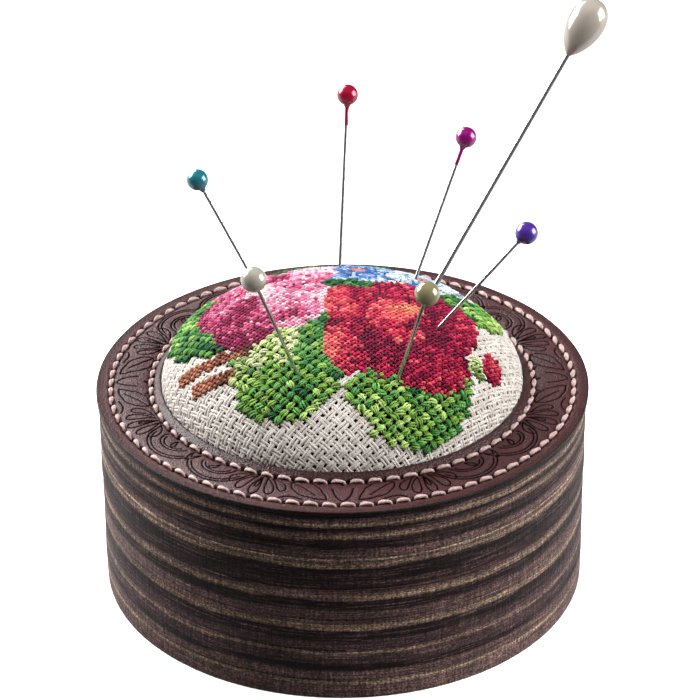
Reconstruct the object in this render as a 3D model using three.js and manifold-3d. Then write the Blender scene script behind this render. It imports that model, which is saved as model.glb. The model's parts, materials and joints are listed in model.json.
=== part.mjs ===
// A round pin-cushion box in millimetres, +Z up, with its origin at the centre of its underside.
// Plywood sheets are stacked into a box and its lift-off lid. A tooled leather ring is sewn round
// the top of the lid, and a stuffed, embroidered dome fills the middle of that ring.
// Six ball-headed pins and one longer corsage pin stand in the dome.

import * as THREE from 'three';
import { mergeVertices } from 'three/addons/utils/BufferGeometryUtils.js';
import Module from 'manifold-3d';

const wasm = await Module();
wasm.setup();

// ---- Driving dimensions ----

const WOOD_RADIUS = 44.5;
const WALL_WIDTH = 6.5;
const BASE_SHEET = 4;
const WALL_SHEET = 6.35;
const WALL_SHEET_COUNT = 4;
const LID_SHEET = 2.95;
const LEATHER_SHEET = 1.1;
const LEATHER_OVERHANG = 0.5;
const CUSHION_RADIUS = 33.1;
const CUSHION_CROWN = 14.55;
const CANVAS_THICKNESS = 0.8;

const BALL_PIN = { shaftRadius: 0.33, shaftLength: 38, tipLength: 3 };
const CORSAGE_PIN = { shaftRadius: 0.45, shaftLength: 62, tipLength: 5 };
const PEAR_LENGTH = 11.6;
const PEAR_RADIUS = 3.6;
const PEAR_NARROW = 0.74;
const PEAR_FLARE = 0.45;

// ---- Clearances and detail sizes ----

const CLEARANCE = 0.3;
const LID_CLEARANCE = 0.4;
const LEATHER_GAP = 0.3;
const WELL_LEDGE = 1.1;
const LOCATING_RING_WIDTH = 4;
const HEM_WIDTH = 8;
const BACKING_THICKNESS = 1.6;
const THREAD_RADIUS = 0.35;
const THREAD_BED = 0.05;
const CHANNEL_OVERRUN = 4;
const GROOVE_HALF_WIDTH = 0.6;
const GROOVE_DEPTH = 0.5;
const SEAM_MARGIN_OUTER = 2.7;
const SEAM_MARGIN_INNER = 1.6;
const HEAD_WALL = 0.35;
const BALL_NECK_LENGTH = 0.7;
const PEAR_BORE_DEPTH = 3;
const DOME_FULLNESS = 2.2;

const ROUND_SEGMENTS = 60;
const DOME_STEPS = 8;
const BALL_SEGMENTS = 14;
const SHAFT_SEGMENTS = 10;
const THREAD_SEGMENTS = 6;

// ---- Levels and radii worked out from them ----

const WALL_INNER_RADIUS = WOOD_RADIUS - WALL_WIDTH;
const LID_BOTTOM = BASE_SHEET + WALL_SHEET_COUNT * WALL_SHEET;
const WELL_FLOOR = LID_BOTTOM + LID_SHEET;
const LEATHER_BOTTOM = LID_BOTTOM + 3 * LID_SHEET;
const LEATHER_TOP = LEATHER_BOTTOM + LEATHER_SHEET;
const LEATHER_OUTER_RADIUS = WOOD_RADIUS + LEATHER_OVERHANG;
const LEATHER_INNER_RADIUS = CUSHION_RADIUS + LEATHER_GAP;
const WELL_RADIUS = LEATHER_INNER_RADIUS + WELL_LEDGE;
const OUTER_SEAM_RADIUS = LEATHER_OUTER_RADIUS - SEAM_MARGIN_OUTER;
const INNER_SEAM_RADIUS = LEATHER_INNER_RADIUS + SEAM_MARGIN_INNER;
const HEM_TOP = WELL_FLOOR + CANVAS_THICKNESS;
const BACKING_TOP = HEM_TOP + BACKING_THICKNESS;

// ---- Where each pin goes in and which way it leans ----

// entry is the x and y where the pin meets the cover. lean is its angle from upright and heading the
// compass direction of that lean, both in degrees, with heading counted anticlockwise from +X.
// exposed is the length outside the cover, up to the middle of a ball or the neck of the pear.
const PINS = [
  { name: 'teal_pin', entry: [-14.1, 7], lean: 39.6, heading: 139, exposed: 24.9, colour: 0x1f7f80, ball: 2 },
  { name: 'white_pin', entry: [-7.9, -18.4], lean: 23.5, heading: -135.5, exposed: 24.6, colour: 0xe9e4d8, ball: 2.25 },
  { name: 'red_pin', entry: [-0.25, 22.4], lean: 25, heading: 82.6, exposed: 32.4, colour: 0xc4152f, ball: 2 },
  { name: 'magenta_pin', entry: [13.8, 17.6], lean: 31.5, heading: 49, exposed: 28, colour: 0xa3107c, ball: 2 },
  { name: 'purple_pin', entry: [17.3, -3.8], lean: 37.5, heading: -8, exposed: 25.5, colour: 0x4a2a8c, ball: 2.05 },
  { name: 'cream_pin', entry: [9.6, -20.2], lean: 24.3, heading: -61, exposed: 24.5, colour: 0xd8cf9f, ball: 2.2 },
  { name: 'corsage_pin', entry: [17.2, 14.5], lean: 36.5, heading: 32.5, exposed: 49.2, colour: 0xded7c8 },
];

// ---- Materials ----

function plywood() {
  return new THREE.MeshStandardMaterial({ color: 0x4b3a38, roughness: 0.75, metalness: 0 });
}

function leather() {
  return new THREE.MeshStandardMaterial({ color: 0x5a3a38, roughness: 0.5, metalness: 0 });
}

function thread() {
  return new THREE.MeshStandardMaterial({ color: 0xd9b3a8, roughness: 0.8, metalness: 0 });
}

function card() {
  return new THREE.MeshStandardMaterial({ color: 0xb9a88a, roughness: 0.9, metalness: 0 });
}

function wadding() {
  return new THREE.MeshStandardMaterial({ color: 0xf0ece2, roughness: 1, metalness: 0 });
}

function canvas() {
  return new THREE.MeshStandardMaterial({ color: 0xcfc6bb, roughness: 0.95, metalness: 0 });
}

function steel() {
  return new THREE.MeshStandardMaterial({ color: 0x9a9fa3, roughness: 0.25, metalness: 1 });
}

function plastic(colour) {
  return new THREE.MeshStandardMaterial({ color: colour, roughness: 0.2, metalness: 0 });
}

// ---- Shape helpers ----

// Turns a profile of [radius, height] points about the Z axis. The profile runs anticlockwise,
// seen with the radius to the right and the height up.
function turned(profile, segments = ROUND_SEGMENTS) {
  const points = profile.map(([radius, height]) => new THREE.Vector2(radius, height));
  return new THREE.LatheGeometry(points, segments).rotateX(Math.PI / 2);
}

function disc(radius, bottom, top) {
  return turned([[0, bottom], [radius, bottom], [radius, top], [0, top]]);
}

function ring(innerRadius, outerRadius, bottom, top) {
  return turned([
    [innerRadius, bottom],
    [outerRadius, bottom],
    [outerRadius, top],
    [innerRadius, top],
    [innerRadius, bottom],
  ]);
}

// The dome's height above the leather at a distance from the axis: a slightly full half-ellipse.
function domeHeight(distance, radius, crown) {
  return crown * Math.sqrt(1 - (distance / radius) ** DOME_FULLNESS);
}

// Points from the rim of a dome up to its crown, which is on the axis.
function domeProfile(radius, crown) {
  const points = [];
  for (let step = 0; step < DOME_STEPS; step += 1) {
    const angle = (step / DOME_STEPS) * (Math.PI / 2);
    const distance = radius * Math.cos(angle) ** (2 / DOME_FULLNESS);
    points.push([distance, LEATHER_TOP + domeHeight(distance, radius, crown)]);
  }
  points.push([0, LEATHER_TOP + crown]);
  return points;
}

function piece(name, geometry, material) {
  const mesh = new THREE.Mesh(geometry, material);
  mesh.name = name;
  return mesh;
}

// ---- Cutting one solid from another ----

function toSolid(geometry) {
  const bare = geometry.clone();
  bare.deleteAttribute('normal');
  bare.deleteAttribute('uv');
  const merged = mergeVertices(bare);
  const corners = merged.index.array;
  const triVerts = [];
  for (let i = 0; i < corners.length; i += 3) {
    const [a, b, c] = corners.slice(i, i + 3);
    const flat = a === b || b === c || c === a;
    if (!flat) {
      triVerts.push(a, b, c);
    }
  }
  const vertProperties = merged.attributes.position.array;
  return new wasm.Manifold(new wasm.Mesh({ numProp: 3, vertProperties, triVerts: Uint32Array.from(triVerts) }));
}

function toGeometry(solid) {
  const { vertProperties, triVerts } = solid.getMesh();
  const geometry = new THREE.BufferGeometry();
  geometry.setAttribute('position', new THREE.BufferAttribute(vertProperties, 3));
  geometry.setIndex(new THREE.BufferAttribute(triVerts, 1));
  geometry.computeVertexNormals();
  return geometry;
}

function cutBy(geometry, cutters) {
  let solid = toSolid(geometry);
  for (const cutter of cutters) {
    solid = solid.subtract(toSolid(cutter));
  }
  return toGeometry(solid);
}

// ---- The box ----

function boxPieces() {
  const pieces = [piece('base_sheet', disc(WOOD_RADIUS, 0, BASE_SHEET), plywood())];
  for (let sheet = 0; sheet < WALL_SHEET_COUNT; sheet += 1) {
    const bottom = BASE_SHEET + sheet * WALL_SHEET;
    const wall = ring(WALL_INNER_RADIUS, WOOD_RADIUS, bottom, bottom + WALL_SHEET);
    pieces.push(piece(`wall_sheet_${sheet + 1}`, wall, plywood()));
  }
  return pieces;
}

// ---- The lid ----

// The locating ring hangs below the lid and drops inside the wall of the box.
function locatingRing() {
  const outerRadius = WALL_INNER_RADIUS - LID_CLEARANCE;
  return ring(outerRadius - LOCATING_RING_WIDTH, outerRadius, LID_BOTTOM - LID_SHEET, LID_BOTTOM);
}

// The two upper sheets of the lid are rings, and leave a well that the cushion sits in.
function lidRing(level) {
  const bottom = LID_BOTTOM + level * LID_SHEET;
  return ring(WELL_RADIUS, WOOD_RADIUS, bottom, bottom + LID_SHEET);
}

function seamGroove(radius) {
  const floor = LEATHER_TOP - GROOVE_DEPTH;
  return [
    [radius + GROOVE_HALF_WIDTH, LEATHER_TOP],
    [radius + GROOVE_HALF_WIDTH, floor],
    [radius - GROOVE_HALF_WIDTH, floor],
    [radius - GROOVE_HALF_WIDTH, LEATHER_TOP],
  ];
}

function leatherRing() {
  return turned([
    [LEATHER_INNER_RADIUS, LEATHER_BOTTOM],
    [LEATHER_OUTER_RADIUS, LEATHER_BOTTOM],
    [LEATHER_OUTER_RADIUS, LEATHER_TOP],
    ...seamGroove(OUTER_SEAM_RADIUS),
    ...seamGroove(INNER_SEAM_RADIUS),
    [LEATHER_INNER_RADIUS, LEATHER_TOP],
    [LEATHER_INNER_RADIUS, LEATHER_BOTTOM],
  ]);
}

function seamThread(radius) {
  const centreHeight = LEATHER_TOP - GROOVE_DEPTH + THREAD_BED + THREAD_RADIUS;
  const loop = new THREE.TorusGeometry(radius, THREAD_RADIUS, THREAD_SEGMENTS, ROUND_SEGMENTS);
  return loop.translate(0, 0, centreHeight);
}

function lidPieces() {
  const bottomSheet = disc(WOOD_RADIUS, LID_BOTTOM, WELL_FLOOR);
  return [
    piece('lid_locating_ring', locatingRing(), plywood()),
    piece('lid_bottom_sheet', bottomSheet, plywood()),
    piece('lid_middle_ring', lidRing(1), plywood()),
    piece('lid_top_ring', lidRing(2), plywood()),
    piece('leather_ring', leatherRing(), leather()),
    piece('outer_seam_thread', seamThread(OUTER_SEAM_RADIUS), thread()),
    piece('inner_seam_thread', seamThread(INNER_SEAM_RADIUS), thread()),
  ];
}

// ---- The cushion ----

// The canvas is drawn over the filling and hemmed under the backing disc, so it is open below.
function coverBlank() {
  const innerRadius = CUSHION_RADIUS - CANVAS_THICKNESS;
  const hemRadius = innerRadius - HEM_WIDTH;
  return turned([
    ...domeProfile(innerRadius, CUSHION_CROWN - CANVAS_THICKNESS).reverse(),
    [innerRadius, HEM_TOP],
    [hemRadius, HEM_TOP],
    [hemRadius, WELL_FLOOR],
    [CUSHION_RADIUS, WELL_FLOOR],
    ...domeProfile(CUSHION_RADIUS, CUSHION_CROWN),
  ]);
}

function fillingBlank() {
  const radius = CUSHION_RADIUS - CANVAS_THICKNESS - CLEARANCE;
  return turned([
    [0, BACKING_TOP],
    [radius, BACKING_TOP],
    ...domeProfile(radius, CUSHION_CROWN - CANVAS_THICKNESS - CLEARANCE),
  ]);
}

function cushionPieces() {
  const channels = PINS.map(pinChannel);
  const backingRadius = CUSHION_RADIUS - CANVAS_THICKNESS - CLEARANCE;
  return [
    piece('cushion_backing_disc', disc(backingRadius, HEM_TOP, BACKING_TOP), card()),
    piece('cushion_filling', cutBy(fillingBlank(), channels), wadding()),
    piece('cushion_cover', cutBy(coverBlank(), channels), canvas()),
  ];
}

// ---- The pins ----

function pinSize(pin) {
  return pin.ball ? BALL_PIN : CORSAGE_PIN;
}

// Puts a pin's own frame in place: its origin where the pin meets the cover, its +Z along the shaft
// towards the head.
function placePin(pin, object) {
  const [x, y] = pin.entry;
  const height = LEATHER_TOP + domeHeight(Math.hypot(x, y), CUSHION_RADIUS, CUSHION_CROWN);
  object.position.set(x, y, height);
  object.rotation.order = 'ZYX';
  object.rotation.z = THREE.MathUtils.degToRad(pin.heading);
  object.rotation.y = THREE.MathUtils.degToRad(pin.lean);
}

// The channel that a pin runs in, from above the cover down to the backing disc.
function pinChannel(pin) {
  const placed = new THREE.Object3D();
  placePin(pin, placed);
  placed.updateMatrix();
  const depth = (placed.position.z - BACKING_TOP - CLEARANCE) / Math.cos(placed.rotation.y);
  const radius = pinSize(pin).shaftRadius + CLEARANCE;
  const channel = new THREE.CylinderGeometry(radius, radius, depth + CHANNEL_OVERRUN, SHAFT_SEGMENTS);
  channel.rotateX(Math.PI / 2);
  channel.translate(0, 0, (CHANNEL_OVERRUN - depth) / 2);
  return channel.applyMatrix4(placed.matrix);
}

// The shaft runs from its point, inside the cushion, to its blunt end inside the head.
function pinShaft(pin) {
  const { shaftRadius, shaftLength, tipLength } = pinSize(pin);
  const point = pin.exposed - shaftLength;
  const end = pin.ball ? pin.exposed : pin.exposed + PEAR_BORE_DEPTH;
  const profile = [[0, point], [shaftRadius, point + tipLength], [shaftRadius, end], [0, end]];
  return turned(profile, SHAFT_SEGMENTS);
}

// A ball with a short neck, bored from below so that the shaft ends inside it.
function ballHead(radius, centre) {
  const bore = BALL_PIN.shaftRadius + CLEARANCE;
  const neckRadius = bore + HEAD_WALL;
  const neckAngle = Math.asin(neckRadius / radius);
  const steps = 8;
  const arc = [];
  for (let step = 0; step < steps; step += 1) {
    const angle = neckAngle + ((Math.PI - neckAngle) * step) / steps;
    arc.push([radius * Math.sin(angle), centre - radius * Math.cos(angle)]);
  }
  const neckBottom = centre - radius * Math.cos(neckAngle) - BALL_NECK_LENGTH;
  const profile = [
    [0, centre + CLEARANCE],
    [bore, centre + CLEARANCE],
    [bore, neckBottom],
    [neckRadius, neckBottom],
    ...arc,
    [0, centre + radius],
  ];
  return turned(profile, BALL_SEGMENTS);
}

// A pear drop, narrow at the neck and full at the far end, bored at the neck for the shaft.
function pearHead(neck) {
  const bore = CORSAGE_PIN.shaftRadius + CLEARANCE;
  const neckRadius = bore + HEAD_WALL;
  const steps = 10;
  const outline = [];
  for (let step = 0; step < steps; step += 1) {
    const angle = (Math.PI * step) / steps;
    const along = (1 - Math.cos(angle)) / 2;
    const fullness = PEAR_NARROW + PEAR_FLARE * along;
    const radius = Math.max(neckRadius, PEAR_RADIUS * Math.sin(angle) * fullness);
    outline.push([radius, neck + PEAR_LENGTH * along]);
  }
  const profile = [
    [0, neck + PEAR_BORE_DEPTH + CLEARANCE],
    [bore, neck + PEAR_BORE_DEPTH + CLEARANCE],
    [bore, neck],
    ...outline,
    [0, neck + PEAR_LENGTH],
  ];
  return turned(profile, BALL_SEGMENTS);
}

function pinGroup(pin) {
  const head = pin.ball ? ballHead(pin.ball, pin.exposed) : pearHead(pin.exposed);
  const placed = new THREE.Group();
  placePin(pin, placed);
  placed.add(piece(`${pin.name}_shaft`, pinShaft(pin), steel()));
  placed.add(piece(`${pin.name}_head`, head, plastic(pin.colour)));
  return placed;
}

// ---- Assembly ----

const group = new THREE.Group();
group.name = 'pin_cushion_box';
group.add(...boxPieces());
group.add(...lidPieces());
group.add(...cushionPieces());
group.add(...PINS.map(pinGroup));

export default group;
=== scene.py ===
"""A round sewing box whose lid is a pin cushion, in its finished look.

The box is a stack of dark stained plywood rings. On the lid lies a tooled leather ring with two rows of
saddle stitching, and inside the ring sits a stuffed dome of canvas with a counted cross stitch bouquet.
Seven pins stand in the dome. Lengths here are in millimetres and become metres where a mesh is made.
Angles run anticlockwise from +X, seen from above.
"""
import json
import math
from collections import namedtuple

import bpy
import numpy as np
from mathutils import Matrix, Vector


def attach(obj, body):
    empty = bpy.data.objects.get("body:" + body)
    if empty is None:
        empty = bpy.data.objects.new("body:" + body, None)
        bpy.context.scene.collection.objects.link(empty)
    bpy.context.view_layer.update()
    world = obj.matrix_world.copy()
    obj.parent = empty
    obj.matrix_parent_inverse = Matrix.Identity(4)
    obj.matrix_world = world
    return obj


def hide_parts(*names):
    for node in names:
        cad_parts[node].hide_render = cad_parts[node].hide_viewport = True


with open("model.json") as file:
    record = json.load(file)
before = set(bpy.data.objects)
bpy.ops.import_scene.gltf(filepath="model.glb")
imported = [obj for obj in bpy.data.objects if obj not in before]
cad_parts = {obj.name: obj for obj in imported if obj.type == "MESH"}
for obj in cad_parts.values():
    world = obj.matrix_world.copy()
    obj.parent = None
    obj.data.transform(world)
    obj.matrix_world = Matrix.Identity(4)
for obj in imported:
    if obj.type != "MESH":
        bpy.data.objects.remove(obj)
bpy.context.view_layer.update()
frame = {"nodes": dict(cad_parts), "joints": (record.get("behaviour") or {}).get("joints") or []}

# ---- driving sizes

MM = 0.001
SEED = 20
TURN = 2 * math.pi

WOOD_COLUMNS = 720  # steps round a wooden sheet
WOOD_SIDE_ROWS = 26  # rows of points up the side of a sheet
WOOD_EDGE = 0.22  # rounding of a sheet's edges
KERF_DEPTH = 0.03  # ripple left by the laser on the cut side
SHEET_PROUD = (-0.02, 0.06)  # how far one sheet may stand back or out from the next
SHEET_OVAL = 0.04  # how far a sheet is from round

LEATHER_COLUMNS = 1984
LEATHER_STEP = 0.19  # between rows of points outside the tooled band
TOOLED_STEP = 0.11  # between rows of points in the tooled band
SEAM_GROOVE_DEPTH = 0.35
SEAM_GROOVE_WIDTH = 0.55
SEAM_STITCH_PITCH = 3.2
SEAM_STITCH_GAP = 0.7  # between the end of one stitch and the start of the next
NEEDLE_HOLE = 0.46  # half the width of a needle hole
NEEDLE_HOLE_DEPTH = 0.5
LEATHER_EDGE = 0.35  # rounding of the leather's edges
SEAM_MARGIN = 0.6  # between a seam and the tooled band
TOOLING_DEPTH = 0.2
TOOLING_WIDTH = 0.14
# The tooling cuts' darkness is partly their own colour and partly painted shade in the grooves.
TOOLING_DARKNESS = 1.9  # above 1 the middle of a cut is dark over some width
LEATHER_LIP_RISE = 0.8  # how far the cushion lifts the inner edge of the leather
LEATHER_PILLOW = 0.25  # how far the leather swells between its two seams

CANVAS_PITCH = 1.65  # one pair of canvas threads to the next
CANVAS_TURN = math.radians(45)  # how the weave lies on the dome
PAIR_SPREAD = 0.305  # half the distance between the two threads of a pair
CANVAS_THREAD_RADIUS = 0.29
CANVAS_THREAD_FLATNESS = 0.68  # its height as a share of its width
CANVAS_WAVE = 0.09  # rise and fall of a thread over and under
WARP_RISE = 0.06  # how far one set of threads stands above the other
THREAD_SWAY = 0.06  # how far a thread strays to either side
CANVAS_LIFT = -0.32  # middle of the weave, below the face of the cover
LINING_LIFT = -0.8
COVER_INNER_LIFT = -1.25
WADDING_LIFT = -1.75
WADDING_CROWN_LIFT = -1.6
WADDING_LUMPS = 0.2
PIN_DIMPLE = 0.3  # how deep a pin pulls the cover in
PIN_DIMPLE_RADIUS = 1.3

SIM_SCALE = 10  # the cloth solver works better on a large dome
SIM_RINGS = 26
SIM_COLUMNS = 96
SIM_PRESSURE = 4.0
SIM_FRAMES = 20
SIM_SHRINK = 0.985  # height of the cover before it is pressed out, as a share of the dome's
SIM_SINK = 6.0  # how far the simulated cover reaches below the rim
PUFF_CAP = 0.9  # furthest the stuffing may push the cover out

FLOOR_BOUNCE = 0.08  # how much light the floor throws back on the object
FLOOR_GLOW = 0.5  # extra light of the floor as the camera sees it
FLOOR_SHINE = 0.8  # light of the floor as glossy sides mirror it
FLOOR_DARK_EDGE = -75  # in front of this line the mirrored floor is dark
FLOOR_LIGHT_EDGE = 0  # behind this line it is lit

# The camera's angles are in degrees.
CAMERA_TARGET_HEIGHT = 19.66
CAMERA_DISTANCE = 562.5
CAMERA_ELEVATION = 31.95
CAMERA_PAN = 0.176
CAMERA_TILT = 2.283
CAMERA_ROLL = -0.466
CAMERA_LENS = 155.26

rng = np.random.default_rng(SEED)


# ---- reading the CAD frame


def node_points(node):
    """The vertices of a CAD node, in millimetres."""
    mesh = frame["nodes"][node].data
    points = np.empty(len(mesh.vertices) * 3)
    mesh.vertices.foreach_get("co", points)
    return points.reshape(-1, 3) / MM


Ring = namedtuple("Ring", "inner outer bottom top")


def ring_of(node):
    """The radii and heights of a CAD node that is round about the upright axis."""
    points = node_points(node)
    radius = np.hypot(points[:, 0], points[:, 1])
    return Ring(radius.min(), radius.max(), points[:, 2].min(), points[:, 2].max())


def pin_axis(pin):
    """The direction a pin slides in, from its tip to its head."""
    joint = next(entry for entry in frame["joints"] if entry["child"] == pin)
    axis = np.array(joint["axis"], dtype=float)
    return axis / np.linalg.norm(axis)


AxisSpan = namedtuple("AxisSpan", "foot low high radius")


def span_on_axis(node, axis):
    """Where a turned CAD node lies on its axis: the axis point nearest the origin, both ends, the radius."""
    points = node_points(node)
    side = np.cross(axis, (0.0, 0.0, 1.0))
    side /= np.linalg.norm(side)
    other = np.cross(axis, side)
    along = points @ axis
    across = points @ side
    over = points @ other
    foot = side * (across.max() + across.min()) / 2 + other * (over.max() + over.min()) / 2
    return AxisSpan(foot, along.min(), along.max(), (across.max() - across.min()) / 2)


# ---- mesh tools


def make_mesh(name, points, face_groups, tints=None):
    """A smooth mesh from points in millimetres and groups of faces with the same number of corners."""
    corners = np.concatenate([group.ravel() for group in face_groups])
    sizes = np.concatenate([np.full(len(group), group.shape[1]) for group in face_groups])
    starts = np.concatenate([[0], np.cumsum(sizes)[:-1]])
    mesh = bpy.data.meshes.new(name)
    mesh.vertices.add(len(points))
    mesh.vertices.foreach_set("co", (points * MM).astype(np.float32).ravel())
    mesh.loops.add(len(corners))
    mesh.loops.foreach_set("vertex_index", corners.astype(np.int32))
    mesh.polygons.add(len(sizes))
    mesh.polygons.foreach_set("loop_start", starts.astype(np.int32))
    mesh.update(calc_edges=True)
    mesh.shade_smooth()
    if tints is not None:
        colours = np.ones((len(points), 4), dtype=np.float32)
        colours[:, :3] = tints
        layer = mesh.color_attributes.new("tint", "FLOAT_COLOR", "POINT")
        layer.data.foreach_set("color", colours.ravel())
    return mesh


def add_piece(name, points, faces, material, body, slot, *nodes, tints=None):
    """Puts a finished piece into the scene. It rides on a body and stands for the given CAD nodes."""
    mesh = make_mesh(name, points, faces, tints)
    mesh.materials.append(material)
    piece = bpy.data.objects.new(name, mesh)
    bpy.context.scene.collection.objects.link(piece)
    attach(piece, body)
    if nodes:
        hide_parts(*nodes)


def loop_faces(rows, columns, closed):
    """Faces between rows of points that each run round in a loop. Closed also joins last row to first."""
    row = np.arange(rows if closed else rows - 1)[:, None]
    column = np.arange(columns)[None, :]
    following = (row + 1) % rows
    beside = (column + 1) % columns
    corners = [
        row * columns + column,
        row * columns + beside,
        following * columns + beside,
        following * columns + column,
    ]
    return np.stack(corners, axis=-1).reshape(-1, 4)


def turned_points(radii, heights, angles):
    """Points of a turned form. Radii and heights are per row, or per row and angle."""
    radii = np.broadcast_to(np.reshape(radii, (len(radii), -1)), (len(radii), len(angles)))
    heights = np.broadcast_to(np.reshape(heights, (len(heights), -1)), (len(heights), len(angles)))
    x = radii * np.cos(angles)
    y = radii * np.sin(angles)
    return np.stack([x, y, heights], axis=-1)


def with_poles(points, first_pole, last_pole):
    """Closes a turned form with a point at each end. Returns its points and its faces."""
    rows, columns = points.shape[:2]
    count = rows * columns
    column = np.arange(columns)
    beside = (column + 1) % columns
    start = np.stack([np.full(columns, count), beside, column], axis=-1)
    last_row = count - columns
    end = np.stack([np.full(columns, count + 1), last_row + column, last_row + beside], axis=-1)
    flat = np.concatenate([points.reshape(-1, 3), [first_pole, last_pole]])
    return flat, [loop_faces(rows, columns, False), start, end]


def round_angles(columns):
    return np.arange(columns) * TURN / columns


def rounded_section(ring, edge, side_rows):
    """The outline of a flat ring with rounded edges, anticlockwise from the inner bottom edge."""
    steps = np.radians([0, 30, 60, 90])
    outline = []
    inner_low = (ring.inner + edge, ring.bottom + edge, 180)
    outer_low = (ring.outer - edge, ring.bottom + edge, 270)
    outer_high = (ring.outer - edge, ring.top - edge, 0)
    inner_high = (ring.inner + edge, ring.top - edge, 90)
    for centre_radius, centre_height, start in (inner_low, outer_low, outer_high, inner_high):
        if start == 0:
            for height in np.linspace(ring.bottom + edge, ring.top - edge, side_rows)[1:-1]:
                outline.append((ring.outer, height))
        for step in steps:
            angle = math.radians(start) + step
            outline.append((centre_radius + edge * math.cos(angle), centre_height + edge * math.sin(angle)))
    return np.array(outline)


def tubes(path, ups, runs, radii, flatness, sides):
    """Closed tubes along a long list of points. Points with the same run number belong to one tube."""
    same = runs[1:] == runs[:-1]
    forward = np.empty_like(path)
    forward[:-1] = path[1:] - path[:-1]
    forward[-1] = forward[-2]
    ends = np.append(~same, True)
    forward[ends] = np.roll(forward, 1, axis=0)[ends]
    backward = np.roll(forward, 1, axis=0)
    starts = np.insert(~same, 0, True)
    backward[starts] = forward[starts]
    tangents = forward + backward
    tangents /= np.linalg.norm(tangents, axis=1, keepdims=True)
    across = np.cross(tangents, ups)
    across /= np.linalg.norm(across, axis=1, keepdims=True)
    rise = np.cross(across, tangents)
    angles = round_angles(sides)[None, :, None]
    spread = np.cos(angles) * across[:, None, :] + np.sin(angles) * rise[:, None, :] * flatness
    points = path[:, None, :] + radii[:, None, None] * spread
    first = np.nonzero(same)[0][:, None] * sides
    side = np.arange(sides)[None, :]
    beside = (side + 1) % sides
    corners = [first + side, first + sides + side, first + sides + beside, first + beside]
    faces = np.stack(corners, axis=-1).reshape(-1, 4)
    start_caps = np.nonzero(starts)[0][:, None] * sides + side
    end_caps = np.nonzero(ends)[0][:, None] * sides + side[:, ::-1]
    return points.reshape(-1, 3), [faces, start_caps, end_caps]


def even_tubes(paths, ups, radii, sides):
    """Round tubes of equal length. Paths and ups are (tube, sample, 3) arrays, radii (tube, sample)."""
    count, samples = paths.shape[:2]
    runs = np.repeat(np.arange(count), samples)
    return tubes(paths.reshape(-1, 3), ups.reshape(-1, 3), runs, radii.ravel(), 1.0, sides)


# ---- material tools


def linear(red, green, blue):
    """A screen colour, 0 to 255 a channel, as linear light."""
    screen = np.array([red, green, blue]) / 255
    return np.where(screen <= 0.04045, screen / 12.92, ((screen + 0.055) / 1.055) ** 2.4)


def opaque(colour):
    return (*[float(value) for value in colour], 1.0)


def set_inputs(tree, node, inputs):
    """Joins or sets a shader node's inputs. Inputs are sockets or plain values, by name or number."""
    for socket, value in inputs.items():
        if isinstance(value, bpy.types.NodeSocket):
            tree.links.new(value, node.inputs[socket])
        else:
            node.inputs[socket].default_value = value


def add_node(tree, kind, inputs, **settings):
    node = tree.nodes.new(kind)
    for setting, value in settings.items():
        setattr(node, setting, value)
    set_inputs(tree, node, inputs)
    return node


def new_material(name):
    """A material with an empty tree but for its Principled surface. Returns material, tree and surface."""
    material = bpy.data.materials.new(name)
    material.use_nodes = True
    return material, material.node_tree, material.node_tree.nodes["Principled BSDF"]


def maths(tree, operation, first, second=0.0):
    return add_node(tree, "ShaderNodeMath", {0: first, 1: second}, operation=operation).outputs[0]


def split(tree, vector):
    """The x, y and z of a vector."""
    return add_node(tree, "ShaderNodeSeparateXYZ", {0: vector}).outputs


def noise(tree, vector, scale, detail=3.0, roughness=0.55):
    inputs = {"Vector": vector, "Scale": scale, "Detail": detail, "Roughness": roughness}
    return add_node(tree, "ShaderNodeTexNoise", inputs).outputs["Fac"]


def scaled(tree, vector, scale):
    """A vector scaled by its own amount in each direction."""
    return add_node(tree, "ShaderNodeVectorMath", {0: vector, 1: scale}, operation="MULTIPLY").outputs[0]


def grain(tree, where, scale, detail=3.0, roughness=0.55):
    """Noise with its own scale in each direction."""
    return noise(tree, scaled(tree, where, scale), 1.0, detail, roughness)


def ramp(tree, factor, stops, interpolation="LINEAR"):
    """A colour ramp from (position, colour) stops."""
    node = add_node(tree, "ShaderNodeValToRGB", {"Fac": factor})
    node.color_ramp.interpolation = interpolation
    elements = node.color_ramp.elements
    while len(elements) < len(stops):
        elements.new(0.5)
    for element, (position, colour) in zip(elements, stops):
        element.position = position
        element.color = opaque(colour)
    return node.outputs["Color"]


def grey(value):
    return (value, value, value)


def grey_ramp(tree, factor, *stops):
    """A ramp of greys from (position, brightness) stops."""
    return ramp(tree, factor, [(position, grey(brightness)) for position, brightness in stops])


def mix_colours(tree, factor, first, second, blend="MIX"):
    """Mixes two colours, each a socket or a plain colour."""
    first, second = (
        colour if isinstance(colour, bpy.types.NodeSocket) else opaque(colour) for colour in (first, second)
    )
    inputs = {0: factor, 6: first, 7: second}
    return add_node(tree, "ShaderNodeMix", inputs, data_type="RGBA", blend_type=blend).outputs[2]


def shaded(tree, colour, light):
    """A colour times a grey."""
    return mix_colours(tree, 1.0, colour, light, "MULTIPLY")


def add_bump(tree, surface, height, strength, distance):
    """Bumps a surface by a height socket. Distance is in millimetres."""
    inputs = {"Height": height, "Strength": strength, "Distance": distance * MM}
    bump = add_node(tree, "ShaderNodeBump", inputs)
    tree.links.new(bump.outputs["Normal"], surface.inputs["Normal"])


def place(tree):
    """Where a point lies on the object, in millimetres."""
    coordinates = add_node(tree, "ShaderNodeTexCoord", {}).outputs["Object"]
    return scaled(tree, coordinates, grey(1 / MM))


def tint(tree):
    return add_node(tree, "ShaderNodeAttribute", {}, attribute_name="tint").outputs["Color"]


# ---- wooden box

PLY = {
    "black": linear(23, 12, 14),
    "dark": linear(40, 25, 27),
    "brown": linear(66, 48, 50),
    "mid": linear(96, 74, 71),
    "light": linear(134, 112, 94),
    # pale: a light ply painted paler still, as a painted highlight where a sheet's top edge catches the
    # light
    "pale": linear(154, 134, 112),
}

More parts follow.
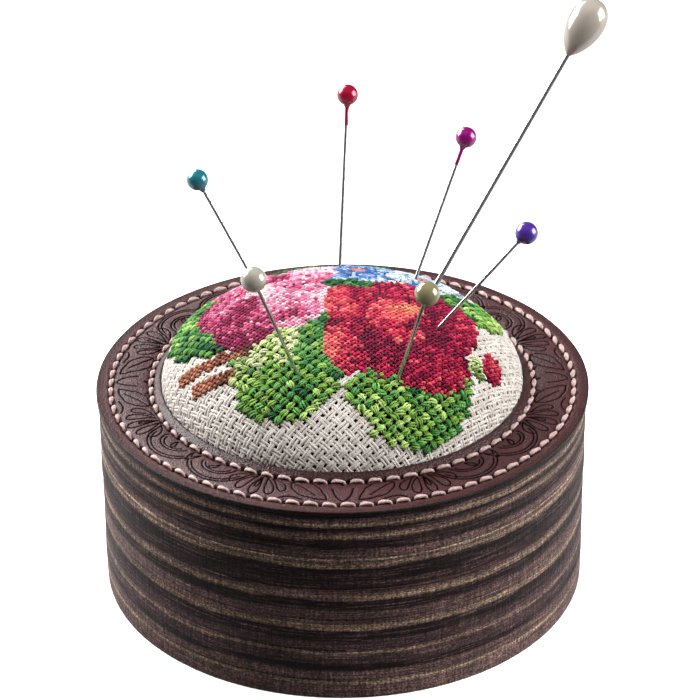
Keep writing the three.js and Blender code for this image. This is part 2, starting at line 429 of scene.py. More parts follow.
# The plies of each sheet as (height above the ground where the ply starts, tone), from below.
PLIES = {
    # The pale ply at the top of the base sheet and of wall sheet 4 is a painted highlight along the top
    # edge.
    "base_sheet": [(0.0, "mid"), (3.1, "pale"), (3.7, "mid")],
    "wall_sheet_1": [(4.0, "mid"), (5.9, "black"), (7.4, "brown"), (9.6, "light"), (10.0, "mid")],
    "wall_sheet_2": [(10.3, "brown"), (12.3, "black"), (14.7, "light"), (15.7, "mid")],
    "wall_sheet_3": [(16.7, "mid"), (18.5, "black"), (20.8, "light"), (21.8, "mid"), (22.5, "dark")],
    "wall_sheet_4": [(23.0, "dark"), (24.7, "black"), (27.6, "light"), (28.4, "mid"), (29.1, "pale")],
    "lid_bottom_sheet": [(29.4, "mid"), (30.9, "black")],
    "lid_middle_ring": [(32.3, "dark"), (33.6, "light"), (34.4, "mid"), (34.9, "dark")],
    "lid_top_ring": [(35.3, "black"), (36.2, "light"), (36.9, "mid"), (37.5, "black")],
    "lid_locating_ring": [(26.4, "mid"), (28.0, "dark")],
}
PLY_FEATHER = 0.38  # how softly one ply turns into the next
PLY_RELIEF = 0.14  # how far the light plies stand back from the dark ones


def ply_relief(heights, plies):
    """How far the cut side stands back at each height."""
    brightness = {name: colour.mean() for name, colour in PLY.items()}
    brightest = max(brightness.values())
    starts = np.array([start for start, _ in plies])
    tones = np.array([brightness[tone] for _, tone in plies]) / brightest
    middles = starts + np.diff(starts, append=starts[-1] + 1.5) / 2
    return PLY_RELIEF * np.interp(heights, middles, tones)


def ply_bands(tree, where, height, plies, bottom, top):
    """The tones of the plies by height, with wavy borders and thin lighter lines in the dark ones."""
    wobble = grain(tree, where, (0.05, 0.05, 0.12), 2.0)
    ripple = grain(tree, where, (0.25, 0.25, 0.6), 2.0)
    shift = maths(tree, "ADD", maths(tree, "MULTIPLY", wobble, 1.5), maths(tree, "MULTIPLY", ripple, 0.45))
    wavy_height = maths(tree, "ADD", height, maths(tree, "SUBTRACT", shift, 0.98))
    share = maths(tree, "DIVIDE", maths(tree, "SUBTRACT", wavy_height, bottom), top - bottom)
    stops = []
    for index, (start, tone) in enumerate(plies):
        end = plies[index + 1][0] if index + 1 < len(plies) else top
        feather = min(PLY_FEATHER, (end - start) / 2.4)
        for edge in (start + feather, end - feather):
            stops.append(((edge - bottom) / (top - bottom), PLY[tone]))
    lines = grain(tree, where, (0.1, 0.1, 3.0), 4.0, 0.7)
    line_share = grey_ramp(tree, lines, (0.5, 0.0), (0.62, 0.7))
    return mix_colours(tree, line_share, ramp(tree, share, stops, "EASE"), PLY["mid"])


def plywood(name, plies, bottom, top):
    """Dark stained, laser-cut plywood with its plies at their heights on the side."""
    material, tree, surface = new_material(name)
    where = place(tree)
    x, y, z = split(tree, where)
    angle = maths(tree, "ARCTAN2", x, maths(tree, "MULTIPLY", y, -1.0))
    along_side = maths(tree, "MULTIPLY", angle, ring_of("base_sheet").outer)
    cut = add_node(tree, "ShaderNodeCombineXYZ", {0: along_side, 2: maths(tree, "MULTIPLY", z, 0.12)})
    kerf = noise(tree, cut.outputs[0], 2.2, 2.0, 0.5)
    streaks = grain(tree, where, (0.1, 0.1, 6.0), 4.0, 0.65)
    specks = grain(tree, where, (2.4, 2.4, 3.4), 4.0, 0.75)
    patches = grain(tree, where, (0.06, 0.06, 0.3), 2.0)
    side = ply_bands(tree, where, z, plies, bottom, top)
    side = shaded(tree, side, grey_ramp(tree, streaks, (0.3, 0.25), (0.5, 0.9), (0.7, 2.2)))
    side = shaded(tree, side, grey_ramp(tree, specks, (0.38, 0.25), (0.5, 0.9), (0.62, 2.3)))
    side = shaded(tree, side, grey_ramp(tree, kerf, (0.32, 0.62), (0.5, 1.0), (0.68, 1.5)))
    side = shaded(tree, side, grey_ramp(tree, patches, (0.3, 0.72), (0.7, 1.3)))

    figure = grain(tree, where, (0.09, 1.1, 1.0), 5.0, 0.6)
    face_stops = [(0.3, linear(62, 43, 36)), (0.55, linear(88, 64, 52)), (0.75, linear(112, 84, 68))]
    normal = add_node(tree, "ShaderNodeNewGeometry", {}).outputs["Normal"]
    is_face = maths(tree, "GREATER_THAN", maths(tree, "ABSOLUTE", split(tree, normal)["Z"]), 0.8)
    inputs = {
        "Base Color": mix_colours(tree, is_face, side, ramp(tree, figure, face_stops)),
        "Roughness": grey_ramp(tree, streaks, (0.3, 0.42), (0.7, 0.58)),
        "Specular IOR Level": 0.16,
    }
    set_inputs(tree, surface, inputs)
    rubbed = maths(tree, "ADD", streaks, maths(tree, "MULTIPLY", specks, 0.6))
    relief = maths(tree, "ADD", maths(tree, "MULTIPLY", kerf, 0.6), rubbed)
    add_bump(tree, surface, relief, 0.8, 0.2)
    return material


def add_wooden_sheet(node, body, slot):
    """One plywood sheet: a ring, or a disc where the CAD sheet has no hole."""
    ring = ring_of(node)
    plies = PLIES[node]
    angles = round_angles(WOOD_COLUMNS)
    proud = rng.uniform(*SHEET_PROUD) + PLY_RELIEF / 2
    oval = SHEET_OVAL * np.sin(angles * 2 + rng.uniform(0, TURN))
    kerf = KERF_DEPTH * rng.uniform(-1, 1, WOOD_COLUMNS)
    is_disc = ring.inner < 1.0
    outline = rounded_section(ring, WOOD_EDGE, WOOD_SIDE_ROWS)
    if is_disc:
        outline = outline[outline[:, 0] > ring.outer / 2]
    radii = np.repeat(outline[:, :1], WOOD_COLUMNS, axis=1)
    on_side = (outline[:, 0] > ring.outer - WOOD_EDGE)[:, None]
    radii = radii + on_side * (proud + oval + kerf - ply_relief(outline[:, 1], plies)[:, None])
    points = turned_points(radii, outline[:, 1], angles)
    if is_disc:
        flat, faces = with_poles(points, (0, 0, ring.bottom), (0, 0, ring.top))
    else:
        flat, faces = points.reshape(-1, 3), [loop_faces(len(outline), WOOD_COLUMNS, True)]
    material = plywood(f"plywood_{node}", plies, ring.bottom, ring.top)
    add_piece(f"{node}_wood", flat, faces, material, body, slot, node)


for sheet in ("base_sheet", "wall_sheet_1", "wall_sheet_2", "wall_sheet_3", "wall_sheet_4"):
    add_wooden_sheet(sheet, "box", "box_plywood")
for sheet in ("lid_locating_ring", "lid_bottom_sheet", "lid_middle_ring", "lid_top_ring"):
    add_wooden_sheet(sheet, "lid", "lid_plywood")


# ---- leather ring

leather = ring_of("leather_ring")
outer_seam = ring_of("outer_seam_thread")
inner_seam = ring_of("inner_seam_thread")
SEAM_RADII = {
    "outer_seam_thread": (outer_seam.inner + outer_seam.outer) / 2,
    "inner_seam_thread": (inner_seam.inner + inner_seam.outer) / 2,
}
TOOLING_REPEATS = 8  # motifs round the ring; every second one is mirrored
ARC_STRETCH = 1.25  # how much longer than high the arcs of a shell are
RIPPLE_HEIGHT = 0.16  # of the rippled edge of a leaf
CURVE_STEPS = 90  # points along one line of the tooling


def stitch_count(seam):
    return round(TURN * SEAM_RADII[seam] / SEAM_STITCH_PITCH)


def teardrop(start, heading, length, width, bend=0.0):
    """The outline of a petal that starts at a point, widens towards its far end and bends to one side."""
    share = np.linspace(0, 1, CURVE_STEPS)
    along = length * (1 - np.cos(TURN * share)) / 2
    across = width / 2 * np.sin(TURN * share) * np.sin(math.pi * share) ** 1.5
    turn = np.radians(heading + bend * along / length)
    s = start[0] + along * np.sin(turn) + across * np.cos(turn)
    t = start[1] + along * np.cos(turn) - across * np.sin(turn)
    return np.stack([s, t], axis=-1)


def arc(centre, radius, first, last):
    """Part of an ellipse that is stretched along the ring, between two angles in degrees."""
    angle = np.radians(np.linspace(first, last, CURVE_STEPS))
    along = centre[0] + radius * ARC_STRETCH * np.cos(angle)
    return np.stack([along, centre[1] + radius * np.sin(angle)], axis=-1)


def bow(start, end, bulge, ripples=0):
    """A curve between two points that swells to one side, with a rippled edge if asked."""
    share = np.linspace(0, 1, CURVE_STEPS)[:, None]
    start = np.array(start)
    end = np.array(end)
    chord = end - start
    side = np.array([-chord[1], chord[0]])
    out = side * bulge * np.sin(math.pi * share**0.8)
    ripple = side / np.linalg.norm(side) * RIPPLE_HEIGHT * np.abs(np.sin(math.pi * ripples * share))
    return start + chord * share + out + ripple * math.copysign(1, bulge)


def tooling_curves():
    """The lines of one motif, in millimetres along the ring and outwards from its middle."""
    curves = []
    # A fan of petals that opens outwards.
    for heading, length in ((0, 5.7), (31, 5.4), (-31, 5.4), (62, 4.7), (-62, 4.7)):
        curves.append(teardrop((heading / 32, -2.9), heading, length, 2.3, -0.35 * heading))
    curves.append(teardrop((0, -2.2), 0, 2.9, 0.9))
    # A shell of nested arcs round a small petal.
    for radius, first, last in ((5.1, 24, 170), (4.5, 30, 160), (2.9, 10, 180), (2.3, 24, 165)):
        curves.append(arc((9.2, -2.6), radius, first, last))
    curves.append(teardrop((9.2, -2.7), 8, 2.2, 1.3, 20))
    curves.append(teardrop((14.2, -2.8), 8, 4.6, 1.4, 30))
    # A pair of leaves, the larger with a rippled edge.
    curves.append(bow((-5.8, -2.6), (-12.6, 2.2), 0.26, 4))
    curves.append(bow((-5.8, -2.6), (-12.6, 2.2), -0.2, 3))
    curves.append(bow((-5.8, -2.6), (-10.6, 1.0), 0.04))
    curves.append(bow((-15.2, -2.4), (-10.6, -2.6), -0.34, 2))
    curves.append(bow((-15.2, 2.6), (-13.4, -1.2), 0.1))
    curves.append(bow((-4.8, 2.7), (-8.6, 2.4), 0.16))
    return np.concatenate(curves)


def tooling_mask(angles, radii):
    """How strongly each point of the ring is cut by the tooling, 0 to 1, by row and column."""
    lines = tooling_curves()
    middle = (SEAM_RADII["outer_seam_thread"] + SEAM_RADII["inner_seam_thread"]) / 2
    sector = TURN / TOOLING_REPEATS
    columns = len(angles) // TOOLING_REPEATS
    local = (angles[:columns] - sector / 2) * middle
    s = np.broadcast_to(local[None, :], (len(radii), columns))
    t = np.broadcast_to((radii - middle)[:, None], s.shape)
    nearest = np.full(s.shape, np.inf)
    for chunk in np.array_split(lines, 40):
        gap = np.hypot(s[..., None] - chunk[:, 0], t[..., None] - chunk[:, 1])
        nearest = np.minimum(nearest, gap.min(axis=-1))
    mask = np.exp(-((nearest / TOOLING_WIDTH) ** 2))
    pair = np.concatenate([mask, mask[:, ::-1]], axis=1)
    return np.tile(pair, (1, TOOLING_REPEATS // 2))


def seam_relief(angles, radii):
    """The depth of the two stitch grooves and the painted shade in their needle holes, by row and column."""
    depth = np.zeros((len(radii), len(angles)))
    holes = np.zeros_like(depth)
    for seam, seam_radius in SEAM_RADII.items():
        count = stitch_count(seam)
        away = (radii - seam_radius)[:, None]
        depth += SEAM_GROOVE_DEPTH * np.exp(-((away / SEAM_GROOVE_WIDTH) ** 2))
        turn_share = angles * count / TURN
        from_hole = (turn_share - np.round(turn_share)) * SEAM_STITCH_PITCH
        holes += np.exp(-((away / NEEDLE_HOLE) ** 4) - (from_hole[None, :] / NEEDLE_HOLE) ** 4)
    return depth, np.clip(holes, 0, 1)


def leather_material():
    """Vegetable-tanned leather, mauve brown, with grain and creases. Its cuts are dark, partly their own
    colour and partly painted shade in the grooves; the needle holes and the inner margin carry painted
    shade.
    """
    material, tree, surface = new_material("tooled_leather")
    where = place(tree)
    x, y, _ = split(tree, where)
    square = maths(tree, "ADD", maths(tree, "POWER", x, 2.0), maths(tree, "POWER", y, 2.0))
    from_inner = maths(tree, "SUBTRACT", maths(tree, "SQRT", square), leather.inner)
    share = maths(tree, "DIVIDE", from_inner, leather.outer - leather.inner)
    # The body darkens towards the inner edge: painted shade where the cushion rises over the leather.
    body_and_margin_shade_stops = [
        (0.0, linear(48, 27, 26)),
        (0.12, linear(54, 28, 29)),
        (0.3, linear(61, 30, 32)),
        (0.8, linear(63, 31, 33)),
        (0.9, linear(58, 30, 30)),
        (0.97, linear(50, 26, 26)),
        (1.0, linear(20, 11, 11)),
    ]
    blotches = noise(tree, where, 0.22, 4.0, 0.6)
    mottling = grey_ramp(tree, blotches, (0.3, 0.78), (0.7, 1.2))
    mottled = shaded(tree, ramp(tree, share, body_and_margin_shade_stops), mottling)
    # The marks paint the cuts near black, partly as painted shade, and the needle holes as painted shade.
    marks = add_node(tree, "ShaderNodeSeparateColor", {0: tint(tree)}).outputs[0]
    uncut = maths(tree, "SUBTRACT", 1.0, marks)
    sheen = grey_ramp(tree, share, (0.82, 0.37), (0.9, 0.14))
    pores = add_node(tree, "ShaderNodeTexVoronoi", {"Vector": where, "Scale": 2.8}).outputs["Distance"]
    creases = noise(tree, where, 1.3, 6.0, 0.7)
    rough = grey_ramp(tree, creases, (0.3, 0.32), (0.7, 0.44))
    polish = grey_ramp(tree, share, (0.12, 0.8), (0.22, 1.0))
    inputs = {
        "Base Color": mix_colours(tree, marks, mottled, linear(7, 3, 4)),
        "Roughness": maths(tree, "MULTIPLY", rough, polish),
        "Specular IOR Level": maths(tree, "MULTIPLY", uncut, sheen),
    }
    set_inputs(tree, surface, inputs)
    relief = maths(tree, "ADD", maths(tree, "MULTIPLY", pores, 0.5), creases)
    add_bump(tree, surface, relief, 0.9, 0.24)
    return material


def add_leather_ring():
    """The tooled ring: rounded edges, stitch grooves, needle holes and a repeating leaf pattern."""
    angles = round_angles(LEATHER_COLUMNS)
    band_high = SEAM_RADII["outer_seam_thread"] - SEAM_MARGIN
    band_low = SEAM_RADII["inner_seam_thread"] + SEAM_MARGIN
    outer_rows = np.arange(leather.outer - LEATHER_EDGE, band_high, -LEATHER_STEP)
    band_rows = np.arange(band_high, band_low, -TOOLED_STEP)
    inner_rows = np.arange(band_low, leather.inner + LEATHER_EDGE, -LEATHER_STEP)
    top_radii = np.concatenate([outer_rows, band_rows, inner_rows])
    groove, holes = seam_relief(angles, top_radii)
    tooling = tooling_mask(angles, top_radii)
    swell = 0.04 * np.sin(angles * 5 + 1.0) + 0.03 * np.sin(angles * 13)
    lip = LEATHER_LIP_RISE * np.clip((band_low - top_radii) / (band_low - leather.inner), 0, 1) ** 1.5
    from_middle = (2 * top_radii - band_high - band_low) / (band_high - band_low)
    pillow = LEATHER_PILLOW * (np.clip(1 - from_middle**2, 0, 1) - 1)
    flesh = (lip + pillow)[:, None] - groove * 0.8 - holes * NEEDLE_HOLE_DEPTH
    top = leather.top + flesh - tooling * TOOLING_DEPTH + swell * 0.5
    # Dark tint of the cuts, partly painted shade, and painted shade in the needle holes.
    marks = np.clip(tooling * TOOLING_DARKNESS + holes, 0, 1)

    outside = [
        (leather.outer - 0.3, leather.bottom),
        (leather.outer, leather.bottom + 0.25),
        (leather.outer + 0.02, leather.top - 0.5),
        (leather.outer - 0.08, leather.top - 0.16),
    ]
    inside = [
        (leather.inner + 0.05, leather.top + LEATHER_LIP_RISE - 0.03),
        (leather.inner - 0.3, leather.top + LEATHER_LIP_RISE - 0.2),
        (leather.inner, leather.top - 0.45),
        (leather.inner + 0.1, leather.bottom),
    ]
    radii = [row[0] for row in outside] + list(top_radii) + [row[0] for row in inside]
    heights = np.zeros((len(radii), LEATHER_COLUMNS))
    heights[: len(outside)] = np.array([row[1] for row in outside])[:, None]
    heights[len(outside) : -len(inside)] = top
    heights[-len(inside) :] = np.array([row[1] for row in inside])[:, None]
    points = turned_points(np.array(radii)[:, None] + swell[None, :], heights, angles)
    tints = np.zeros((len(radii), LEATHER_COLUMNS, 3))
    tints[len(outside) : -len(inside)] = marks[..., None]
    faces = [loop_faces(len(radii), LEATHER_COLUMNS, True)]
    add_piece(
        "leather_ring_tooled", points.reshape(-1, 3), faces, leather_material(), "lid", "leather",
        "leather_ring", tints=tints.reshape(-1, 3),
    )


def saddle_thread_material():
    """Waxed linen thread, pale pink."""
    material, tree, surface = new_material("saddle_thread")
    where = place(tree)
    fibres = noise(tree, where, 3.0, 4.0, 0.6)
    stops = [(0.3, linear(136, 108, 105)), (0.55, linear(180, 154, 149)), (0.75, linear(216, 196, 190))]
    inputs = {"Base Color": ramp(tree, fibres, stops), "Roughness": 0.55, "Specular IOR Level": 0.35}
    set_inputs(tree, surface, inputs)
    add_bump(tree, surface, noise(tree, where, 7.0, 3.0), 0.4, 0.06)
    return material


def add_saddle_stitches(node, material):
    """One row of saddle stitches. Each is two plies that rise out of one needle hole and into the next."""
    samples = 11
    plies = 2
    count = stitch_count(node)
    seam_radius = SEAM_RADII[node]
    share = np.linspace(-1, 1, samples)[None, None, :]
    stitch = np.arange(count)[:, None, None]
    ply = np.arange(plies)[None, :, None]
    half_length = (SEAM_STITCH_PITCH - SEAM_STITCH_GAP) / 2 * rng.uniform(0.9, 1.05, (count, 1, 1))
    slant = rng.normal(0.16, 0.06, (count, 1, 1))
    shift = rng.normal(0, 0.05, (count, 1, 1))
    arch = np.sqrt(np.clip(1 - share**2, 0, 1))
    twist = math.pi * (0.5 * share + ply) + 0.5
    lift = -0.7 + 0.65 * arch**0.8 + 0.1 * np.sin(twist) * arch
    angle = (stitch + 0.5) * TURN / count + half_length * share / seam_radius
    radius = seam_radius + slant * share + 0.17 * np.cos(twist) * arch + shift
    shape = (count, plies, samples)
    places = (radius * np.cos(angle), radius * np.sin(angle), leather.top + lift)
    paths = np.stack([np.broadcast_to(values, shape) for values in places], axis=-1)
    paths = paths.reshape(count * plies, samples, 3)
    ups = np.broadcast_to(np.array([0.0, 0.0, 1.0]), paths.shape)
    thickness = np.broadcast_to(0.12 + 0.17 * arch, shape).reshape(count * plies, samples)
    points, faces = even_tubes(paths, ups, thickness, 8)
    add_piece(f"{node}_stitches", points, faces, material, "lid", "seam_thread", node)


add_leather_ring()
saddle_thread = saddle_thread_material()
for seam_node in SEAM_RADII:
    add_saddle_stitches(seam_node, saddle_thread)


# ---- form of the cushion

cover = ring_of("cushion_cover")
filling = ring_of("cushion_filling")
backing = ring_of("cushion_backing_disc")
RIM_RADIUS = cover.outer
RIM_HEIGHT = leather.top
CROWN = cover.top - RIM_HEIGHT
FULLNESS = 2.2  # above 2 the dome is flatter on top and steeper at its rim than an ellipse
HEM_RADIUS = 24.0

# The dome's section, sampled evenly in angle, then by distance along the cloth from its middle.
section_angle = np.linspace(0, math.pi / 2, 400)
section_radius = RIM_RADIUS * np.sin(section_angle) ** (2 / FULLNESS)
section_height = RIM_HEIGHT + CROWN * np.sqrt(np.clip(1 - (section_radius / RIM_RADIUS) ** FULLNESS, 0, 1))
section_step = np.hypot(np.diff(section_radius), np.diff(section_height))
section_length = np.concatenate([[0], np.cumsum(section_step)])
CLOTH_RADIUS = section_length[-1]
section_fall = -np.gradient(section_height, section_length)
section_slope = np.arctan2(section_fall, np.gradient(section_radius, section_length))


def pin_entries():
    """Where the pins go through the cover, as points on the dome."""
    entries = []
    for joint in frame["joints"]:
        if not joint["child"].endswith("_pin"):
            continue
        axis = pin_axis(joint["child"])
        span = span_on_axis(f"{joint['child']}_shaft", axis)
        for along in np.arange(span.low, span.high, 0.05):
            point = span.foot + axis * along
            radius = math.hypot(point[0], point[1])
            if radius < RIM_RADIUS and point[2] > np.interp(radius, section_radius, section_height):
                entries.append(point)
                break
    return entries


def simulate_puff():
    """Cloth simulation of the stuffed dome. Returns how far it swells, by ring and column.

    The cloth is held below its rim and pressed out from inside. Only its shape is kept.
    """
    angles = round_angles(SIM_COLUMNS)
    reach = np.linspace(0, CLOTH_RADIUS, SIM_RINGS + 1)[1:]
    radii = np.interp(reach, section_length, section_radius)
    heights = RIM_HEIGHT + (np.interp(reach, section_length, section_height) - RIM_HEIGHT) * SIM_SHRINK
    floor = RIM_HEIGHT - SIM_SINK
    all_radii = np.concatenate([[RIM_RADIUS * 0.5, RIM_RADIUS], radii[::-1]])
    all_heights = np.concatenate([[floor, floor], heights[::-1]])
    points = turned_points(all_radii, all_heights, angles)
    flat, faces = with_poles(points, (0, 0, floor), (0, 0, RIM_HEIGHT + CROWN * SIM_SHRINK))
    mesh = make_mesh("stuffed_dome", flat * SIM_SCALE, faces)
    dome = bpy.data.objects.new("stuffed_dome", mesh)
    bpy.context.scene.collection.objects.link(dome)
    held = dome.vertex_groups.new(name="held")
    held.add([int(index) for index in range(3 * SIM_COLUMNS)], 1.0, "REPLACE")
    held.add([len(flat) - 2], 1.0, "REPLACE")
    cloth = dome.modifiers.new("stuffing", "CLOTH")
    cloth.settings.vertex_group_mass = "held"
    cloth.settings.quality = 6
    cloth.settings.tension_stiffness = 12
    cloth.settings.compression_stiffness = 12
    cloth.settings.shear_stiffness = 6
    cloth.settings.bending_stiffness = 0.4
    cloth.settings.use_pressure = True
    cloth.settings.uniform_pressure_force = SIM_PRESSURE
    cloth.settings.effector_weights.gravity = 0
    cloth.collision_settings.use_collision = False
    scene = bpy.context.scene
    for step in range(1, SIM_FRAMES + 1):
        scene.frame_set(step)
    solved = dome.evaluated_get(bpy.context.evaluated_depsgraph_get())
    moved = np.empty(len(flat) * 3)
    solved.to_mesh().vertices.foreach_get("co", moved)
    solved.to_mesh_clear()
    moved = moved.reshape(-1, 3) / (MM * SIM_SCALE)
    bpy.data.objects.remove(dome)
    scene.frame_set(1)
    rings = moved[2 * SIM_COLUMNS : -2].reshape(SIM_RINGS, SIM_COLUMNS, 3)[::-1]
    slope = np.interp(reach, section_length, section_slope)[:, None]
    out_step = np.hypot(rings[..., 0], rings[..., 1]) - radii[:, None]
    up_step = rings[..., 2] - np.interp(reach, section_length, section_height)[:, None]
    swell = out_step * np.sin(slope) + up_step * np.cos(slope)
    middle = np.full((1, SIM_COLUMNS), moved[-1, 2] - (RIM_HEIGHT + CROWN))
    return np.clip(np.concatenate([middle, swell]), -PUFF_CAP, PUFF_CAP)


puff = simulate_puff()
ENTRIES = pin_entries()


def puff_at(share, angle):
    """The swell of the cover at a share of the way to the rim and an angle."""
    ring = np.clip(share, 0, 1) * SIM_RINGS
    column = (angle / TURN * SIM_COLUMNS) % SIM_COLUMNS
    low_ring = np.minimum(ring.astype(int), SIM_RINGS - 1)
    low_column = column.astype(int) % SIM_COLUMNS
    ring_part = ring - low_ring
    column_part = column - column.astype(int)
    next_column = (low_column + 1) % SIM_COLUMNS
    near = puff[low_ring, low_column] * (1 - column_part) + puff[low_ring, next_column] * column_part
    far = puff[low_ring + 1, low_column] * (1 - column_part) + puff[low_ring + 1, next_column] * column_part
    return near * (1 - ring_part) + far * ring_part


def on_cushion(u, v, lift):
    """The place on the dome of a point of the flat cloth, and the way the cover faces there."""
    reach = np.hypot(u, v)
    angle = np.arctan2(v, u)
    slope = np.interp(reach, section_length, section_slope)
    radius = np.interp(reach, section_length, section_radius)
    height = np.interp(reach, section_length, section_height)
    facing = np.stack([np.sin(slope) * np.cos(angle), np.sin(slope) * np.sin(angle), np.cos(slope)], axis=-1)
    middle = np.stack([radius * np.cos(angle), radius * np.sin(angle), height], axis=-1)
    rise = puff_at(reach / CLOTH_RADIUS, angle)
    for entry in ENTRIES:
        gap = np.linalg.norm(middle - entry, axis=-1)
        rise = rise - PIN_DIMPLE * np.exp(-((gap / PIN_DIMPLE_RADIUS) ** 2))
    return middle + facing * (rise + lift)[..., None], facing


# ---- design of the embroidery

def palette(*screen_colours):
    return np.array([linear(*colour) for colour in screen_colours])


PINK = palette(
    (120, 24, 62), (166, 52, 96), (198, 88, 126),
    (204, 118, 150), (214, 158, 178), (226, 198, 203),
)
ROSE = palette((96, 4, 40), (130, 8, 52), (164, 20, 62), (186, 42, 72), (204, 72, 84), (212, 108, 100))
LEAF = palette((36, 86, 48), (66, 122, 62), (94, 148, 72), (120, 162, 72), (158, 190, 104))
SAGE = palette((120, 148, 84), (150, 174, 100), (180, 194, 134), (198, 208, 158))
BLUE = palette((60, 92, 150), (100, 132, 184), (154, 180, 208), (202, 211, 220))
BARK = palette((88, 46, 34), (136, 80, 60), (174, 114, 86))
AMBER = palette((204, 86, 82), (206, 116, 90), (208, 142, 108))

# A petal or leaf in flat cloth millimetres: middle, half length, half width and heading in degrees. Its
# shade runs from the near end to the far end of its colours, 0 to 1.
Shape = namedtuple("Shape", "kind u v half_length half_width heading colours near far")

LEAVES = [
    Shape("leaf", -27.5, 13.5, 11.5, 6, 105, LEAF, 0.25, 0.75),
    Shape("leaf", -26.2, 0.5, 10.5, 6.8, 125, LEAF, 0.2, 0.65),
    Shape("leaf", -8.5, 26, 9, 4, 75, LEAF, 0.1, 0.6),
    Shape("leaf", 24, 7.2, 7.4, 5, -20, LEAF, 0.2, 0.9),
    Shape("patch", -4.5, -4.5, 8, 4.6, 175, LEAF, 0.1, 0.35),
    Shape("leaf", -9.6, -15.5, 13.3, 11, -95, LEAF, 0.42, 0.88),
    Shape("patch", -13.8, -12.5, 9, 5.5, -115, SAGE, 0.5, 0.85),
    Shape("patch", -12.4, -21.6, 7.6, 6, -30, LEAF, 0.7, 0.5),
    Shape("leaf", 12.6, -23, 10.4, 11.2, -88, LEAF, 0.42, 0.78),
    Shape("patch", 6.5, -23, 7, 4.6, -80, LEAF, 0.45, 0.75),
    Shape("patch", 20.5, -17.5, 4.6, 3.6, -60, LEAF, 0.1, 0.5),
    Shape("leaf", 0.8, 10.2, 6.4, 3.8, 10, LEAF, 0.05, 0.3),
    Shape("patch", 24.2, -12, 3, 2.4, 80, SAGE, 0.2, 0.9),
    Shape("leaf", 10, 31, 8, 4, 20, LEAF, 0.1, 0.6),
    Shape("leaf", -24, 26, 7, 4, 140, LEAF, 0.2, 0.7),
]

BLOSSOMS = [
    Shape("twig", -23.6, -10.8, 7.4, 1.4, 2, BARK, 1.0, 0.3),
    Shape("twig", -23.8, -15.7, 4.3, 1.4, 3, BARK, 0.9, 0.3),
    Shape("flower", 3.0, 19.5, 8.4, 8.4, 10, BLUE, 0.05, 0.7),
    Shape("flower", 15.5, 18, 7.4, 7.4, 50, BLUE, 0.45, 1.0),
    Shape("patch", 14.2, 12.6, 2.6, 2.2, 30, BLUE, 0.1, 0.5),
    Shape("petal", -18, 17, 9.5, 7, 115, PINK, 0.35, 0.75),
    Shape("petal", -8, 15.5, 9.5, 6, 60, PINK, 0.35, 0.95),
    Shape("petal", -20.5, 5, 6.5, 8, 185, PINK, 0.75, 0.2),
    Shape("petal", -17, -2, 7.5, 6.5, 250, PINK, 0.55, 0.05),
    Shape("petal", -9.6, 0.4, 6.2, 6.6, 300, PINK, 0.35, 0.7),
    Shape("petal", -5.9, 4.6, 4.3, 7, 0, PINK, 0.55, 0.95),
    Shape("petal", -13.5, 7, 6.5, 4.5, 110, PINK, 0.6, 1.0),
    Shape("patch", -18.4, 3.6, 3.0, 5.2, 160, PINK, -0.05, 0.2),
    Shape("patch", -11.4, 17, 2.6, 2.2, 80, PINK, 0.0, 0.3),
    Shape("patch", -10, -1, 4.4, 1.5, 20, PINK, 0.1, 0.4),
    Shape("patch", 10.6, -4.6, 13.2, 15, 0, ROSE, 0.25, 0.45),
    Shape("petal", 9.8, 6, 7, 6, 60, ROSE, 0.2, 0.45),
    Shape("petal", 18.8, -2, 6.4, 8.4, 0, ROSE, 0.05, 0.5),
    Shape("petal", 15.4, -14, 8.2, 7.6, -50, ROSE, 0.15, 0.5),
    Shape("petal", 1.4, 3, 4.8, 6.6, 178, ROSE, 0.3, 0.9),
    Shape("petal", 9.4, -1.6, 5.6, 5, 95, ROSE, 0.5, 1.0),
    Shape("petal", 1.6, -11.6, 5.0, 7.4, 184, ROSE, 0.2, 0.95),
    Shape("patch", 6.2, -11.6, 2.6, 5.2, 10, ROSE, 0.0, 0.2),
    Shape("patch", 15.2, -6, 2.6, 4.6, 60, ROSE, 0.0, 0.25),
    Shape("patch", 12, -8.4, 3.4, 1.5, 30, ROSE, 0.5, 0.8),
    Shape("patch", 11.6, 0.4, 3.8, 2.2, 20, AMBER, 0.0, 0.8),
    Shape("patch", 28, -10.6, 3.7, 2.1, 90, ROSE, 0.3, 0.8),
    Shape("petal", -12, 31, 5, 4, 120, PINK, 0.2, 0.9),
]

EDGE_WANDER = 0.035  # how ragged the outlines are
SHADE_SPREAD = 0.2  # how much neighbouring stitches differ
HALF_LEAF_SHADE = 0.1  # how much lighter or darker than its middle each half of a leaf is
VEIN_SHADE = 0.12
VEIN_WIDTH = 0.1
PETAL_EDGE_SHADE = 0.25
HEART = 0.17  # radius of a flower's heart, as a share of the flower's


def inside_shape(shape, along, across, angle, reach):
    """Which stitches a shape covers, from their place along and across it."""
    if shape.kind == "flower":
        return reach < 0.7 + 0.3 * np.abs(np.cos(2.5 * angle))
    if shape.kind == "leaf":
        return np.abs(across) < np.clip(1 - along**2, 0, 1) ** 0.6
    if shape.kind == "twig":
        return (np.abs(along) < 1) & (np.abs(across) < 1)
    return reach < 1


